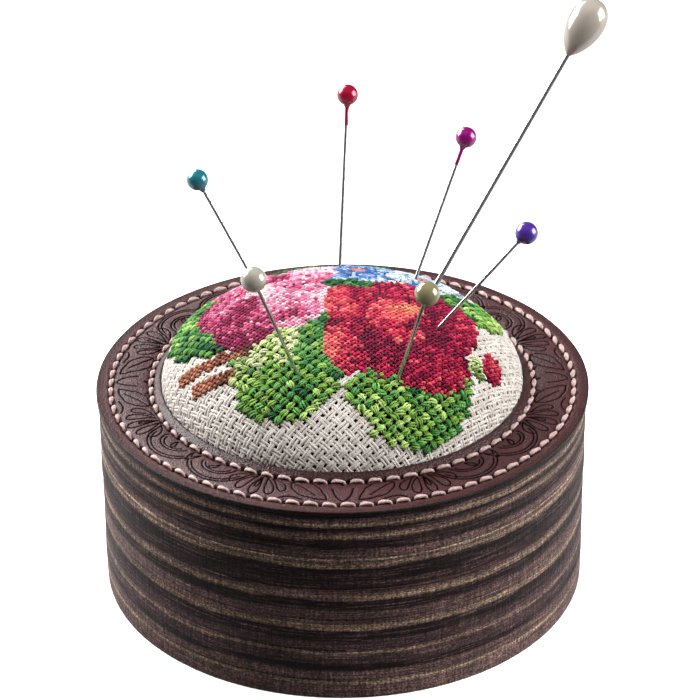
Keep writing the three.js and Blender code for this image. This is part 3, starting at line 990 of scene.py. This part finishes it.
def paint(shapes, u, v):
    """The colour of each stitch, and whether any shape covers it. Later shapes lie over earlier ones."""
    colours = np.zeros((len(u), 3))
    covered = np.zeros(len(u), dtype=bool)
    for shape in shapes:
        turn = math.radians(shape.heading)
        ragged = 1 + rng.normal(0, EDGE_WANDER, len(u))
        east = (u - shape.u) * ragged
        north = (v - shape.v) * ragged
        along = (east * math.cos(turn) + north * math.sin(turn)) / shape.half_length
        across = (north * math.cos(turn) - east * math.sin(turn)) / shape.half_width
        reach = np.hypot(along, across)
        angle = np.arctan2(across, along)
        inside = inside_shape(shape, along, across, angle, reach)
        shade = shape.near + (shape.far - shape.near) * (along + 1) / 2
        if shape.kind == "flower":
            shade = shape.near + (shape.far - shape.near) * reach
        if shape.kind == "leaf":
            shade = shade - HALF_LEAF_SHADE * np.sign(across)
            shade = shade - VEIN_SHADE * np.exp(-((across / VEIN_WIDTH) ** 2))
        if shape.kind == "petal":
            shade = shade - PETAL_EDGE_SHADE * across**2
        shade = shade + rng.normal(0, SHADE_SPREAD, len(u))
        choice = np.clip((shade * len(shape.colours)).astype(int), 0, len(shape.colours) - 1)
        picked = shape.colours[choice]
        if shape.kind == "flower":
            picked = np.where((reach < HEART)[:, None], AMBER[1], picked)
        colours[inside] = picked[inside]
        covered |= inside
    return colours, covered


def canvas_to_cloth(a, b):
    """Turns canvas thread coordinates into flat cloth coordinates."""
    u = a * math.cos(CANVAS_TURN) - b * math.sin(CANVAS_TURN)
    v = a * math.sin(CANVAS_TURN) + b * math.cos(CANVAS_TURN)
    return u, v


CELLS = math.ceil(CLOTH_RADIUS / CANVAS_PITCH)  # cells each way from the middle
QUARTERS = 4 * CELLS + 2  # quarter cells across the whole square of canvas
quarter_index = np.arange(QUARTERS)
quarter_place = (quarter_index - QUARTERS / 2 + 0.5) * CANVAS_PITCH / 2
quarter_a, quarter_b = np.meshgrid(quarter_place, quarter_place, indexing="ij")
quarter_u, quarter_v = canvas_to_cloth(quarter_a.ravel(), quarter_b.ravel())
cell_place = np.arange(-CELLS, CELLS + 1) * CANVAS_PITCH
cell_a, cell_b = np.meshgrid(cell_place, cell_place, indexing="ij")
cell_u, cell_v = canvas_to_cloth(cell_a.ravel(), cell_b.ravel())

STITCHED_RADIUS = CLOTH_RADIUS - 1.2
petite_colour, petite_covered = paint(BLOSSOMS, quarter_u, quarter_v)
petite_covered &= np.hypot(quarter_u, quarter_v) < STITCHED_RADIUS
full_colour, full_covered = paint(LEAVES, cell_u, cell_v)
full_covered &= np.hypot(cell_u, cell_v) < STITCHED_RADIUS

# A cell takes a full stitch only where no blossom reaches into any of its four quarters. Otherwise the
# quarters that the blossom leaves free take small stitches in the leaf's colour.
blossom_map = petite_covered.reshape(QUARTERS, QUARTERS)
blossom_blocks = blossom_map.reshape(QUARTERS // 2, 2, QUARTERS // 2, 2).any(axis=(1, 3)).ravel()
side_cells = np.arange(QUARTERS) // 2
owner = (side_cells[:, None] * (QUARTERS // 2) + side_cells[None, :]).ravel()
leaf_quarters = full_covered[owner]
small_leaf = leaf_quarters & blossom_blocks[owner] & ~petite_covered
petite_colour[small_leaf] = full_colour[owner][small_leaf]
petite_covered |= small_leaf
full_covered &= ~blossom_blocks
stitched_map = (leaf_quarters | petite_covered).reshape(QUARTERS, QUARTERS)


def is_stitched(a, b):
    """Whether a place on the canvas lies under a stitch."""
    row = np.clip(np.floor(a / (CANVAS_PITCH / 2) + QUARTERS / 2).astype(int), 0, QUARTERS - 1)
    column = np.clip(np.floor(b / (CANVAS_PITCH / 2) + QUARTERS / 2).astype(int), 0, QUARTERS - 1)
    return stitched_map[row, column]


# ---- pieces of the cushion


def floss_material():
    """Stranded cotton with a soft gleam. Each stitch carries its own colour, with painted shade and a
    painted highlight along its strands.
    """
    material, tree, surface = new_material("cotton_floss")
    fibres = noise(tree, place(tree), 6.0, 3.0, 0.6)
    colour = shaded(tree, tint(tree), grey_ramp(tree, fibres, (0.3, 0.55), (0.7, 0.95)))
    set_inputs(tree, surface, {"Base Color": colour, "Roughness": 0.5, "Specular IOR Level": 0.16})
    add_bump(tree, surface, fibres, 0.5, 0.05)
    return material


def canvas_thread_material():
    """Off-white cotton canvas thread."""
    material, tree, surface = new_material("canvas_thread")
    where = place(tree)
    slubs = noise(tree, where, 0.6, 3.0)
    fibres = noise(tree, where, 6.0, 4.0, 0.65)
    stops = [(0.3, linear(166, 156, 149)), (0.5, linear(188, 181, 174)), (0.72, linear(206, 200, 193))]
    shading = grey_ramp(tree, fibres, (0.3, 0.5), (0.5, 1.0), (0.7, 1.35))
    colour = shaded(tree, ramp(tree, slubs, stops), shading)
    set_inputs(tree, surface, {"Base Color": colour, "Roughness": 0.75, "Specular IOR Level": 0.3})
    add_bump(tree, surface, fibres, 0.5, 0.06)
    return material


def lining_material():
    """The closely woven cloth that shows in the holes of the canvas, tinted dark as painted shade in the
    holes.
    """
    material, tree, surface = new_material("canvas_lining")
    speckle = noise(tree, place(tree), 2.2, 4.0)
    colour = shaded(tree, tint(tree), grey_ramp(tree, speckle, (0.3, 0.8), (0.7, 1.2)))
    set_inputs(tree, surface, {"Base Color": colour, "Roughness": 0.9})
    add_bump(tree, surface, speckle, 0.5, 0.1)
    return material


def add_canvas_lining():
    """The closed cover: dome, side, and the hem turned in under the backing disc."""
    columns = 320
    angles = round_angles(columns)
    reach = np.linspace(0, CLOTH_RADIUS, 61)[1:]
    u = reach[:, None] * np.cos(angles)
    v = reach[:, None] * np.sin(angles)
    outer, _ = on_cushion(u, v, np.full(u.shape, LINING_LIFT))
    inner, _ = on_cushion(u, v, np.full(u.shape, COVER_INNER_LIFT))
    hem = np.array(
        [
            (RIM_RADIUS - 0.9, cover.bottom + 1.2),
            (RIM_RADIUS - 1.2, cover.bottom + 0.7),
            (HEM_RADIUS, cover.bottom + 0.7),
            (HEM_RADIUS, cover.bottom + 0.1),
            (RIM_RADIUS - 1.0, cover.bottom + 0.1),
            (RIM_RADIUS - 0.5, cover.bottom + 0.6),
        ]
    )
    hem_points = turned_points(hem[:, 0], hem[:, 1], angles)
    points = np.concatenate([inner, hem_points, outer[::-1]])
    crown_inner, _ = on_cushion(np.zeros(1), np.zeros(1), np.full(1, COVER_INNER_LIFT))
    crown_outer, _ = on_cushion(np.zeros(1), np.zeros(1), np.full(1, LINING_LIFT))
    flat, faces = with_poles(points, crown_inner[0], crown_outer[0])
    # The lining's dark tints are painted shade in the canvas holes, darker still below the stitches.
    painted_hole_shade = linear(60, 51, 47)
    painted_shade_below_stitches = linear(46, 38, 34)
    tints = np.tile(painted_hole_shade, (len(flat), 1))
    dome_a = (u * math.cos(CANVAS_TURN) + v * math.sin(CANVAS_TURN))[::-1]
    dome_b = (v * math.cos(CANVAS_TURN) - u * math.sin(CANVAS_TURN))[::-1]
    under = is_stitched(dome_a.ravel(), dome_b.ravel())
    first = (len(inner) + len(hem)) * columns
    tints[first:-2] = np.where(under[:, None], painted_shade_below_stitches, painted_hole_shade)
    add_piece(
        "cushion_cover_cloth", flat, faces, lining_material(), "lid", "embroidered_canvas",
        "cushion_cover", tints=tints,
    )


def add_canvas_threads(name, across_weave, material):
    """One direction of the canvas: pairs of threads that run over and under, where no stitch hides them."""
    samples_per_cell = 5
    a = np.arange(-CELLS * samples_per_cell, CELLS * samples_per_cell + 1) * CANVAS_PITCH / samples_per_cell
    pieces = []
    for pair in range(-CELLS, CELLS + 1):
        for side in (-1, 1):
            sway = THREAD_SWAY * np.sin(a * 0.31 + rng.uniform(0, TURN)) + rng.normal(0, 0.03)
            wriggle = THREAD_SWAY * np.sin(a * 1.13 + rng.uniform(0, TURN)) + rng.normal(0, 0.025, len(a))
            b = pair * CANVAS_PITCH + side * PAIR_SPREAD + sway + wriggle
            wave = np.cos(math.pi * (a / CANVAS_PITCH + pair)) * (-1 if across_weave else 1)
            lift = CANVAS_LIFT + CANVAS_WAVE * wave + WARP_RISE * (not across_weave)
            thickness = CANVAS_THREAD_RADIUS * rng.uniform(0.9, 1.08)
            slub = 1 + 0.1 * np.sin(a * 1.7 + rng.uniform(0, TURN)) + rng.normal(0, 0.08, len(a))
            pieces.append(np.stack([a, b, lift, thickness * slub], axis=-1))
    strands = np.stack(pieces)
    along, beside, lift, thickness = np.moveaxis(strands, -1, 0)
    if across_weave:
        u, v = canvas_to_cloth(beside, along)
        hidden = is_stitched(beside, along)
    else:
        u, v = canvas_to_cloth(along, beside)
        hidden = is_stitched(along, beside)
    on_cloth = np.hypot(u, v) < CLOTH_RADIUS
    shown = ~hidden & on_cloth
    # A thread goes on for one more point under the stitches at each end.
    shown[:, 1:] |= shown[:, :-1] & on_cloth[:, 1:]
    shown[:, :-1] |= shown[:, 1:] & on_cloth[:, :-1]
    starts = shown.copy()
    starts[:, 1:] &= ~shown[:, :-1]
    runs = np.cumsum(starts.ravel())[shown.ravel()]
    long_enough = np.bincount(runs)[runs] > 2
    keep = np.nonzero(shown.ravel())[0][long_enough]
    path, facing = on_cushion(u.ravel()[keep], v.ravel()[keep], lift.ravel()[keep])
    radii = thickness.ravel()[keep]
    points, faces = tubes(path, facing, runs[long_enough], radii, CANVAS_THREAD_FLATNESS, 8)
    add_piece(name, points, faces, material, "lid", "embroidered_canvas")


STITCH_TURN = math.radians(28)  # how the top legs lie on the dome
STITCH_TURN_SPREAD = 0.3  # how unevenly they lie, in radians
STITCH_FLIPS = 0.15  # share of the stitches whose legs cross the other way round
STRAND_GAP = 2.1  # from one strand of a leg to the next, in strand radii
STRAND_BUNCH = 0.8  # how much closer the strands lie at a leg's ends than at its middle
STRAND_WIDTHS = (0.9, 1.12)
STRAND_THIN_END = 0.72
# How straight and even the strands are, as shares of half a stitch's length.
STRAND_REACH = 0.97
STRAND_REACH_SPREAD = 0.03
STRAND_LEAN = 0.14
STRAND_SHIFT = 0.1
STRAND_DIVE = 0.45  # how deep its ends go into the canvas
STRAND_ARCH = 0.14
# Heights above the canvas, in strand radii.
LOWER_LEG = -0.75
UPPER_LEG = 0.5
MIDDLE_STRAND = 1.1
OUTER_STRAND = 0.8
# Tone of the strands and the light painted on them: a random tone, painted shade at the ends and on the
# lower leg, a painted highlight at the middle.
STRAND_TONE_SPREAD = 0.24
END_PAINTED_SHADE = 0.42
MIDDLE_PAINTED_HIGHLIGHT = 1.25
LOWER_LEG_PAINTED_SHADE = 0.95


def add_stitches(name, u, v, colours, half_length, strand_radius, strands, material):
    """Cross stitches: one leg below and one across it on top, each of several plump strands, their colours
    carrying painted shade and a painted highlight.
    """
    stitches = (len(u), 1)
    samples = 7 if strands > 2 else 5
    sides = 6
    share = np.linspace(-1, 1, samples)
    arch = 1 - share**2
    flipped = rng.random(stitches) < STITCH_FLIPS
    heading = STITCH_TURN + rng.normal(0, STITCH_TURN_SPREAD, stitches) + math.pi / 2 * flipped
    paths, ups, radii, tints = [], [], [], []
    for leg_turn, leg_height, leg_painted_shade in ((math.pi / 2, LOWER_LEG, LOWER_LEG_PAINTED_SHADE), (0, UPPER_LEG, 1)):
        turn = heading + leg_turn
        for strand in range(strands):
            offset = (strand - (strands - 1) / 2) * strand_radius * STRAND_GAP
            lean = half_length * rng.normal(0, STRAND_LEAN, stitches)
            shift = rng.normal(0, STRAND_SHIFT * half_length, stitches)
            sideways = offset * (1 - STRAND_BUNCH + STRAND_BUNCH * arch) + shift + lean * share
            along = half_length * STRAND_REACH * share
            along = along + rng.normal(0, STRAND_REACH_SPREAD * half_length, stitches)
            path_u = u[:, None] + along * np.cos(turn) - sideways * np.sin(turn)
            path_v = v[:, None] + along * np.sin(turn) + sideways * np.cos(turn)
            crown = MIDDLE_STRAND if strand == (strands - 1) / 2 else OUTER_STRAND
            rise = (crown * strand_radius + STRAND_ARCH * half_length) * arch
            lift = leg_height * strand_radius - STRAND_DIVE * half_length * share**4 + rise
            path, facing = on_cushion(path_u, path_v, np.broadcast_to(lift, path_u.shape))
            paths.append(path)
            ups.append(facing)
            width = strand_radius * rng.uniform(*STRAND_WIDTHS, stitches)
            radii.append(width * (STRAND_THIN_END + (1 - STRAND_THIN_END) * arch))
            # Each strand's colour: a random tone, times painted shade at its ends and on the lower leg and a
            # painted highlight at its middle.
            glow = rng.normal(1.0, STRAND_TONE_SPREAD, stitches) * leg_painted_shade
            glow = glow * (END_PAINTED_SHADE + (MIDDLE_PAINTED_HIGHLIGHT - END_PAINTED_SHADE) * arch**0.7)
            tints.append(colours[:, None, :] * glow[..., None])
    points, faces = even_tubes(np.concatenate(paths), np.concatenate(ups), np.concatenate(radii), sides)
    tint_rows = np.repeat(np.concatenate(tints).reshape(-1, 3), sides, axis=0)
    add_piece(name, points, faces, material, "lid", "embroidered_canvas", tints=tint_rows)


def add_embroidery():
    """All cross stitches, in a few pieces from the left of the dome to the right."""
    floss = floss_material()
    stitch_kinds = (
        ("leaf", 2, full_covered, cell_u, cell_v, full_colour, CANVAS_PITCH * 0.66, 0.175, 3),
        ("blossom", 3, petite_covered, quarter_u, quarter_v, petite_colour, CANVAS_PITCH * 0.32, 0.145, 2),
    )
    for kind, pieces, covered, u, v, colours, half_length, strand_radius, strands in stitch_kinds:
        stitched = np.nonzero(covered)[0]
        stitched = stitched[np.argsort(u[stitched])]
        for number, part in enumerate(np.array_split(stitched, pieces), start=1):
            name = f"{kind}_stitches_{number}"
            add_stitches(name, u[part], v[part], colours[part], half_length, strand_radius, strands, floss)


def wadding_material():
    """White polyester wadding."""
    material, tree, surface = new_material("wadding")
    fibres = noise(tree, place(tree), 1.4, 6.0, 0.7)
    stops = [(0.3, linear(196, 192, 184)), (0.7, linear(240, 238, 232))]
    set_inputs(tree, surface, {"Base Color": ramp(tree, fibres, stops), "Roughness": 0.95})
    add_bump(tree, surface, fibres, 0.8, 0.5)
    return material


def card_material():
    """Grey-brown bookbinder's card."""
    material, tree, surface = new_material("backing_card")
    fibres = noise(tree, place(tree), 1.1, 5.0, 0.65)
    stops = [(0.3, linear(128, 112, 92)), (0.7, linear(164, 148, 124))]
    set_inputs(tree, surface, {"Base Color": ramp(tree, fibres, stops), "Roughness": 0.85})
    add_bump(tree, surface, fibres, 0.4, 0.08)
    return material


def add_filling():
    """The lumpy wadding dome under the cover, and the card disc it stands on."""
    columns = 96
    angles = round_angles(columns)
    reach = np.linspace(0, CLOTH_RADIUS, 31)[1:-1]
    u = reach[:, None] * np.cos(angles)
    v = reach[:, None] * np.sin(angles)
    lumps = WADDING_LUMPS * np.sin(u * 0.7 + 1.0) * np.cos(v * 0.9) + WADDING_LIFT
    dome, _ = on_cushion(u, v, lumps)
    base = np.array([(RIM_RADIUS - 4.0, filling.bottom + 0.05), (RIM_RADIUS - 2.2, filling.bottom + 1.0)])
    points = np.concatenate([turned_points(base[:, 0], base[:, 1], angles), dome[::-1]])
    crown, _ = on_cushion(np.zeros(1), np.zeros(1), np.full(1, WADDING_CROWN_LIFT))
    flat, faces = with_poles(points, (0, 0, filling.bottom + 0.05), crown[0])
    add_piece("cushion_wadding", flat, faces, wadding_material(), "lid", "wadding", "cushion_filling")

    disc = rounded_section(Ring(0, backing.outer, backing.bottom, backing.top), 0.3, 4)
    disc = disc[disc[:, 0] > backing.outer / 2]
    rim = turned_points(disc[:, 0], disc[:, 1], round_angles(160))
    flat, faces = with_poles(rim, (0, 0, backing.bottom), (0, 0, backing.top))
    add_piece(
        "cushion_backing_card", flat, faces, card_material(), "lid", "backing_card",
        "cushion_backing_disc",
    )


canvas_thread = canvas_thread_material()
add_canvas_lining()
add_canvas_threads("canvas_threads_warp", False, canvas_thread)
add_canvas_threads("canvas_threads_weft", True, canvas_thread)
add_embroidery()
add_filling()


# ---- pins

BEADS = {
    "teal": linear(28, 112, 126),
    "white": linear(180, 174, 160),
    "red": linear(162, 8, 50),
    "magenta": linear(140, 6, 110),
    "purple": linear(76, 46, 146),
    "cream": linear(144, 136, 100),
    "corsage": linear(184, 174, 162),
}
PEARLY = ("white", "cream", "corsage")
PAINTED_SHAFTS = {"red": 3.2, "magenta": 3.0}  # how far the bead's paint has run down the shaft
SHAFT_STEPS = 40
POINT_LENGTH = 2.2
EVEN_SHAFT = 3  # from the tip to where the shaft's even part starts


def steel_material():
    """Polished steel with faint drawing marks along the shaft."""
    material, tree, surface = new_material("pin_steel")
    marks = grain(tree, place(tree), (3.0, 3.0, 0.3))
    inputs = {
        "Base Color": grey_ramp(tree, marks, (0.3, 0.42), (0.7, 0.58)),
        "Roughness": grey_ramp(tree, marks, (0.3, 0.1), (0.7, 0.2)),
        "Metallic": 0.85,
    }
    set_inputs(tree, surface, inputs)
    return material


def bead_material(name, colour, pearly):
    """A bead with painted reflections as clouds of a lighter shade, painted shade at its edge and a clear
    gloss over it.
    """
    material, tree, surface = new_material(name)
    # The darker edge is painted shade at the bead's rim; the lighter clouds are painted reflections.
    edge = add_node(tree, "ShaderNodeLayerWeight", {"Blend": 0.35}).outputs["Facing"]
    painted_reflection_cloud = noise(tree, place(tree), 0.7, 3.0)
    darker = colour * (0.62 if pearly else 0.4)
    lighter = np.clip(colour * (1.05 if pearly else 1.5), 0, 1)
    body = mix_colours(tree, edge, colour, darker)
    inputs = {
        "Base Color": mix_colours(tree, maths(tree, "MULTIPLY", painted_reflection_cloud, 0.5), body, lighter),
        "Metallic": 0.32 if pearly else 0.35,
        "Roughness": 0.2 if pearly else 0.28,
        "Coat Weight": 1.0,
        "Coat Roughness": 0.04,
    }
    set_inputs(tree, surface, inputs)
    return material


def on_axis(axis, foot, profile, columns):
    """A turned form about a pin's axis, from rows of (radius, distance along the axis)."""
    side = np.cross(axis, (0.0, 0.0, 1.0))
    side /= np.linalg.norm(side)
    other = np.cross(axis, side)
    angles = round_angles(columns)
    spoke = np.cos(angles)[:, None] * side + np.sin(angles)[:, None] * other
    rows = profile[1:-1]
    points = foot + rows[:, 1][:, None, None] * axis + rows[:, 0][:, None, None] * spoke
    flat, faces = with_poles(points, foot + profile[0][1] * axis, foot + profile[-1][1] * axis)
    return flat, [group[:, ::-1] for group in faces]


def ball_profile(span, painted):
    """A ball with a short neck, and with the paint that ran down the shaft."""
    centre = span.high - span.radius
    neck = 0.46
    start = math.asin(neck / span.radius)
    turn = np.linspace(start, math.pi, 26)[1:]
    rows = [(0.0, span.low - painted)]
    if painted:
        rows += [(0.35, span.low - painted), (0.37, span.low - painted * 0.7), (0.39, span.low - 0.2)]
    rows += [(neck - 0.08, span.low), (neck, span.low + 0.12)]
    rows += [(span.radius * math.sin(angle), centre - span.radius * math.cos(angle)) for angle in turn]
    rows[-1] = (0.0, span.high)
    return np.array(rows)


def pear_profile(span):
    """A drop that is narrow at the shaft and full at its far end."""
    length = span.high - span.low
    narrowing, rounding = 0.7, 0.44
    fullest = narrowing / (narrowing + rounding)
    fullest_swell = fullest**narrowing * (1 - fullest) ** rounding
    rows = [(0.0, span.low)]
    for turn in np.linspace(0.2, math.pi - 0.04, 34):
        share = (1 - math.cos(turn)) / 2
        swell = share**narrowing * (1 - share) ** rounding / fullest_swell
        rows.append((max(0.6, span.radius * swell), span.low + length * share))
    rows.append((0.0, span.high))
    return np.array(rows)


def add_pin(colour_name, steel):
    """One pin: a pointed shaft and its bead, both on the pin's own body."""
    pin = f"{colour_name}_pin"
    axis = pin_axis(pin)
    shaft = span_on_axis(f"{pin}_shaft", axis)
    tip = [(shaft.radius * step**0.7, shaft.low + POINT_LENGTH * step) for step in (0.15, 0.4, 0.7, 1.0)]
    body = [(shaft.radius, along) for along in np.linspace(shaft.low + EVEN_SHAFT, shaft.high, SHAFT_STEPS)]
    profile = np.array([(0.0, shaft.low)] + tip + body + [(0.0, shaft.high)])
    points, faces = on_axis(axis, shaft.foot, profile, 20)
    add_piece(f"{pin}_steel", points, faces, steel, pin, "pin_steel", f"{pin}_shaft")

    head = span_on_axis(f"{pin}_head", axis)
    if colour_name == "corsage":
        profile = pear_profile(head)
    else:
        profile = ball_profile(head, PAINTED_SHAFTS.get(colour_name, 0))
    points, faces = on_axis(axis, head.foot, profile, 48)
    slot = f"{colour_name}_bead"
    material = bead_material(slot, BEADS[colour_name], colour_name in PEARLY)
    add_piece(f"{pin}_bead", points, faces, material, pin, slot, f"{pin}_head")


pin_steel = steel_material()
for bead_name in BEADS:
    add_pin(bead_name, pin_steel)


# ---- floor, light, camera


def add_floor():
    """A plain pale floor that also glows, behind the object, for mirrored rays."""
    size = 3.0
    mesh = bpy.data.meshes.new("floor")
    corners = [(-size, -size, 0), (size, -size, 0), (size, size, 0), (-size, size, 0)]
    mesh.from_pydata(corners, [], [(0, 1, 2, 3)])
    material, tree, surface = new_material("floor_paper")
    # The floor looks white, as in the photograph, but throws only a little light back on the object. What
    # shines on the object's sides is a painted reflection: the floor beside and behind it glows for mirrored
    # rays only, the floor in front does not.
    path = add_node(tree, "ShaderNodeLightPath", {}).outputs
    seen = path["Is Camera Ray"]
    colour = mix_colours(tree, seen, grey(FLOOR_BOUNCE), grey(0.86))
    past_edge = maths(tree, "SUBTRACT", split(tree, place(tree))["Y"], FLOOR_DARK_EDGE)
    behind = maths(tree, "DIVIDE", past_edge, FLOOR_LIGHT_EDGE - FLOOR_DARK_EDGE)
    shine = grey_ramp(tree, behind, (0.0, 0.0), (1.0, FLOOR_SHINE))
    mirrored = maths(tree, "MULTIPLY", shine, path["Is Glossy Ray"])
    glow = maths(tree, "ADD", maths(tree, "MULTIPLY", seen, FLOOR_GLOW), mirrored)
    inputs = {
        "Base Color": colour,
        "Emission Color": opaque(grey(1)),
        "Emission Strength": glow,
        "Roughness": 0.9,
        "Specular IOR Level": 0.1,
    }
    set_inputs(tree, surface, inputs)
    mesh.materials.append(material)
    floor = bpy.data.objects.new("floor", mesh)
    bpy.context.scene.collection.objects.link(floor)


def add_softbox(name, location, size, power, mirrored=True):
    """A soft square light that faces the cushion, and that glossy surfaces mirror if asked."""
    data = bpy.data.lights.new(name, "AREA")
    data.shape = "SQUARE"
    data.size = size
    data.energy = power
    light = bpy.data.objects.new(name, data)
    light.location = location
    light.visible_glossy = mirrored
    target = Vector((0, 0, leather.top * MM))
    light.rotation_euler = (target - light.location).to_track_quat("-Z", "Y").to_euler()
    bpy.context.scene.collection.objects.link(light)


def add_world(strength):
    world = bpy.data.worlds.new("studio")
    world.use_nodes = True
    background = world.node_tree.nodes["Background"]
    set_inputs(world.node_tree, background, {"Color": opaque(grey(1)), "Strength": strength})
    bpy.context.scene.world = world


def add_camera():
    """The camera of the photograph: from the front and above, with a long lens."""
    data = bpy.data.cameras.new("camera")
    data.lens = CAMERA_LENS
    data.sensor_width = 36
    data.clip_start = 0.01
    camera = bpy.data.objects.new("camera", data)
    elevation = math.radians(CAMERA_ELEVATION)
    distance = CAMERA_DISTANCE * MM
    camera.location = (
        0,
        -distance * math.cos(elevation),
        CAMERA_TARGET_HEIGHT * MM + distance * math.sin(elevation),
    )
    level = Matrix.Rotation(math.radians(90 - CAMERA_ELEVATION), 3, "X")
    pan = Matrix.Rotation(math.radians(-CAMERA_PAN), 3, "Z")
    tilt = Matrix.Rotation(math.radians(CAMERA_TILT), 3, "X")
    roll = Matrix.Rotation(math.radians(CAMERA_ROLL), 3, "Z")
    camera.rotation_euler = (pan @ level @ tilt @ roll).to_euler()
    bpy.context.scene.collection.objects.link(camera)
    bpy.context.scene.camera = camera


add_floor()
add_softbox("softbox_left", (-0.56, 0.3, 0.36), 0.45, 9)
add_softbox("softbox_back", (-0.3, 0.5, 0.38), 0.34, 4)
add_softbox("softbox_right", (0.66, -0.05, 0.28), 0.45, 7.4)
add_softbox("softbox_top", (0.0, -0.1, 0.8), 0.5, 6.5, mirrored=False)
add_world(0.05)
add_camera()
bpy.context.scene.view_settings.view_transform = "Standard"
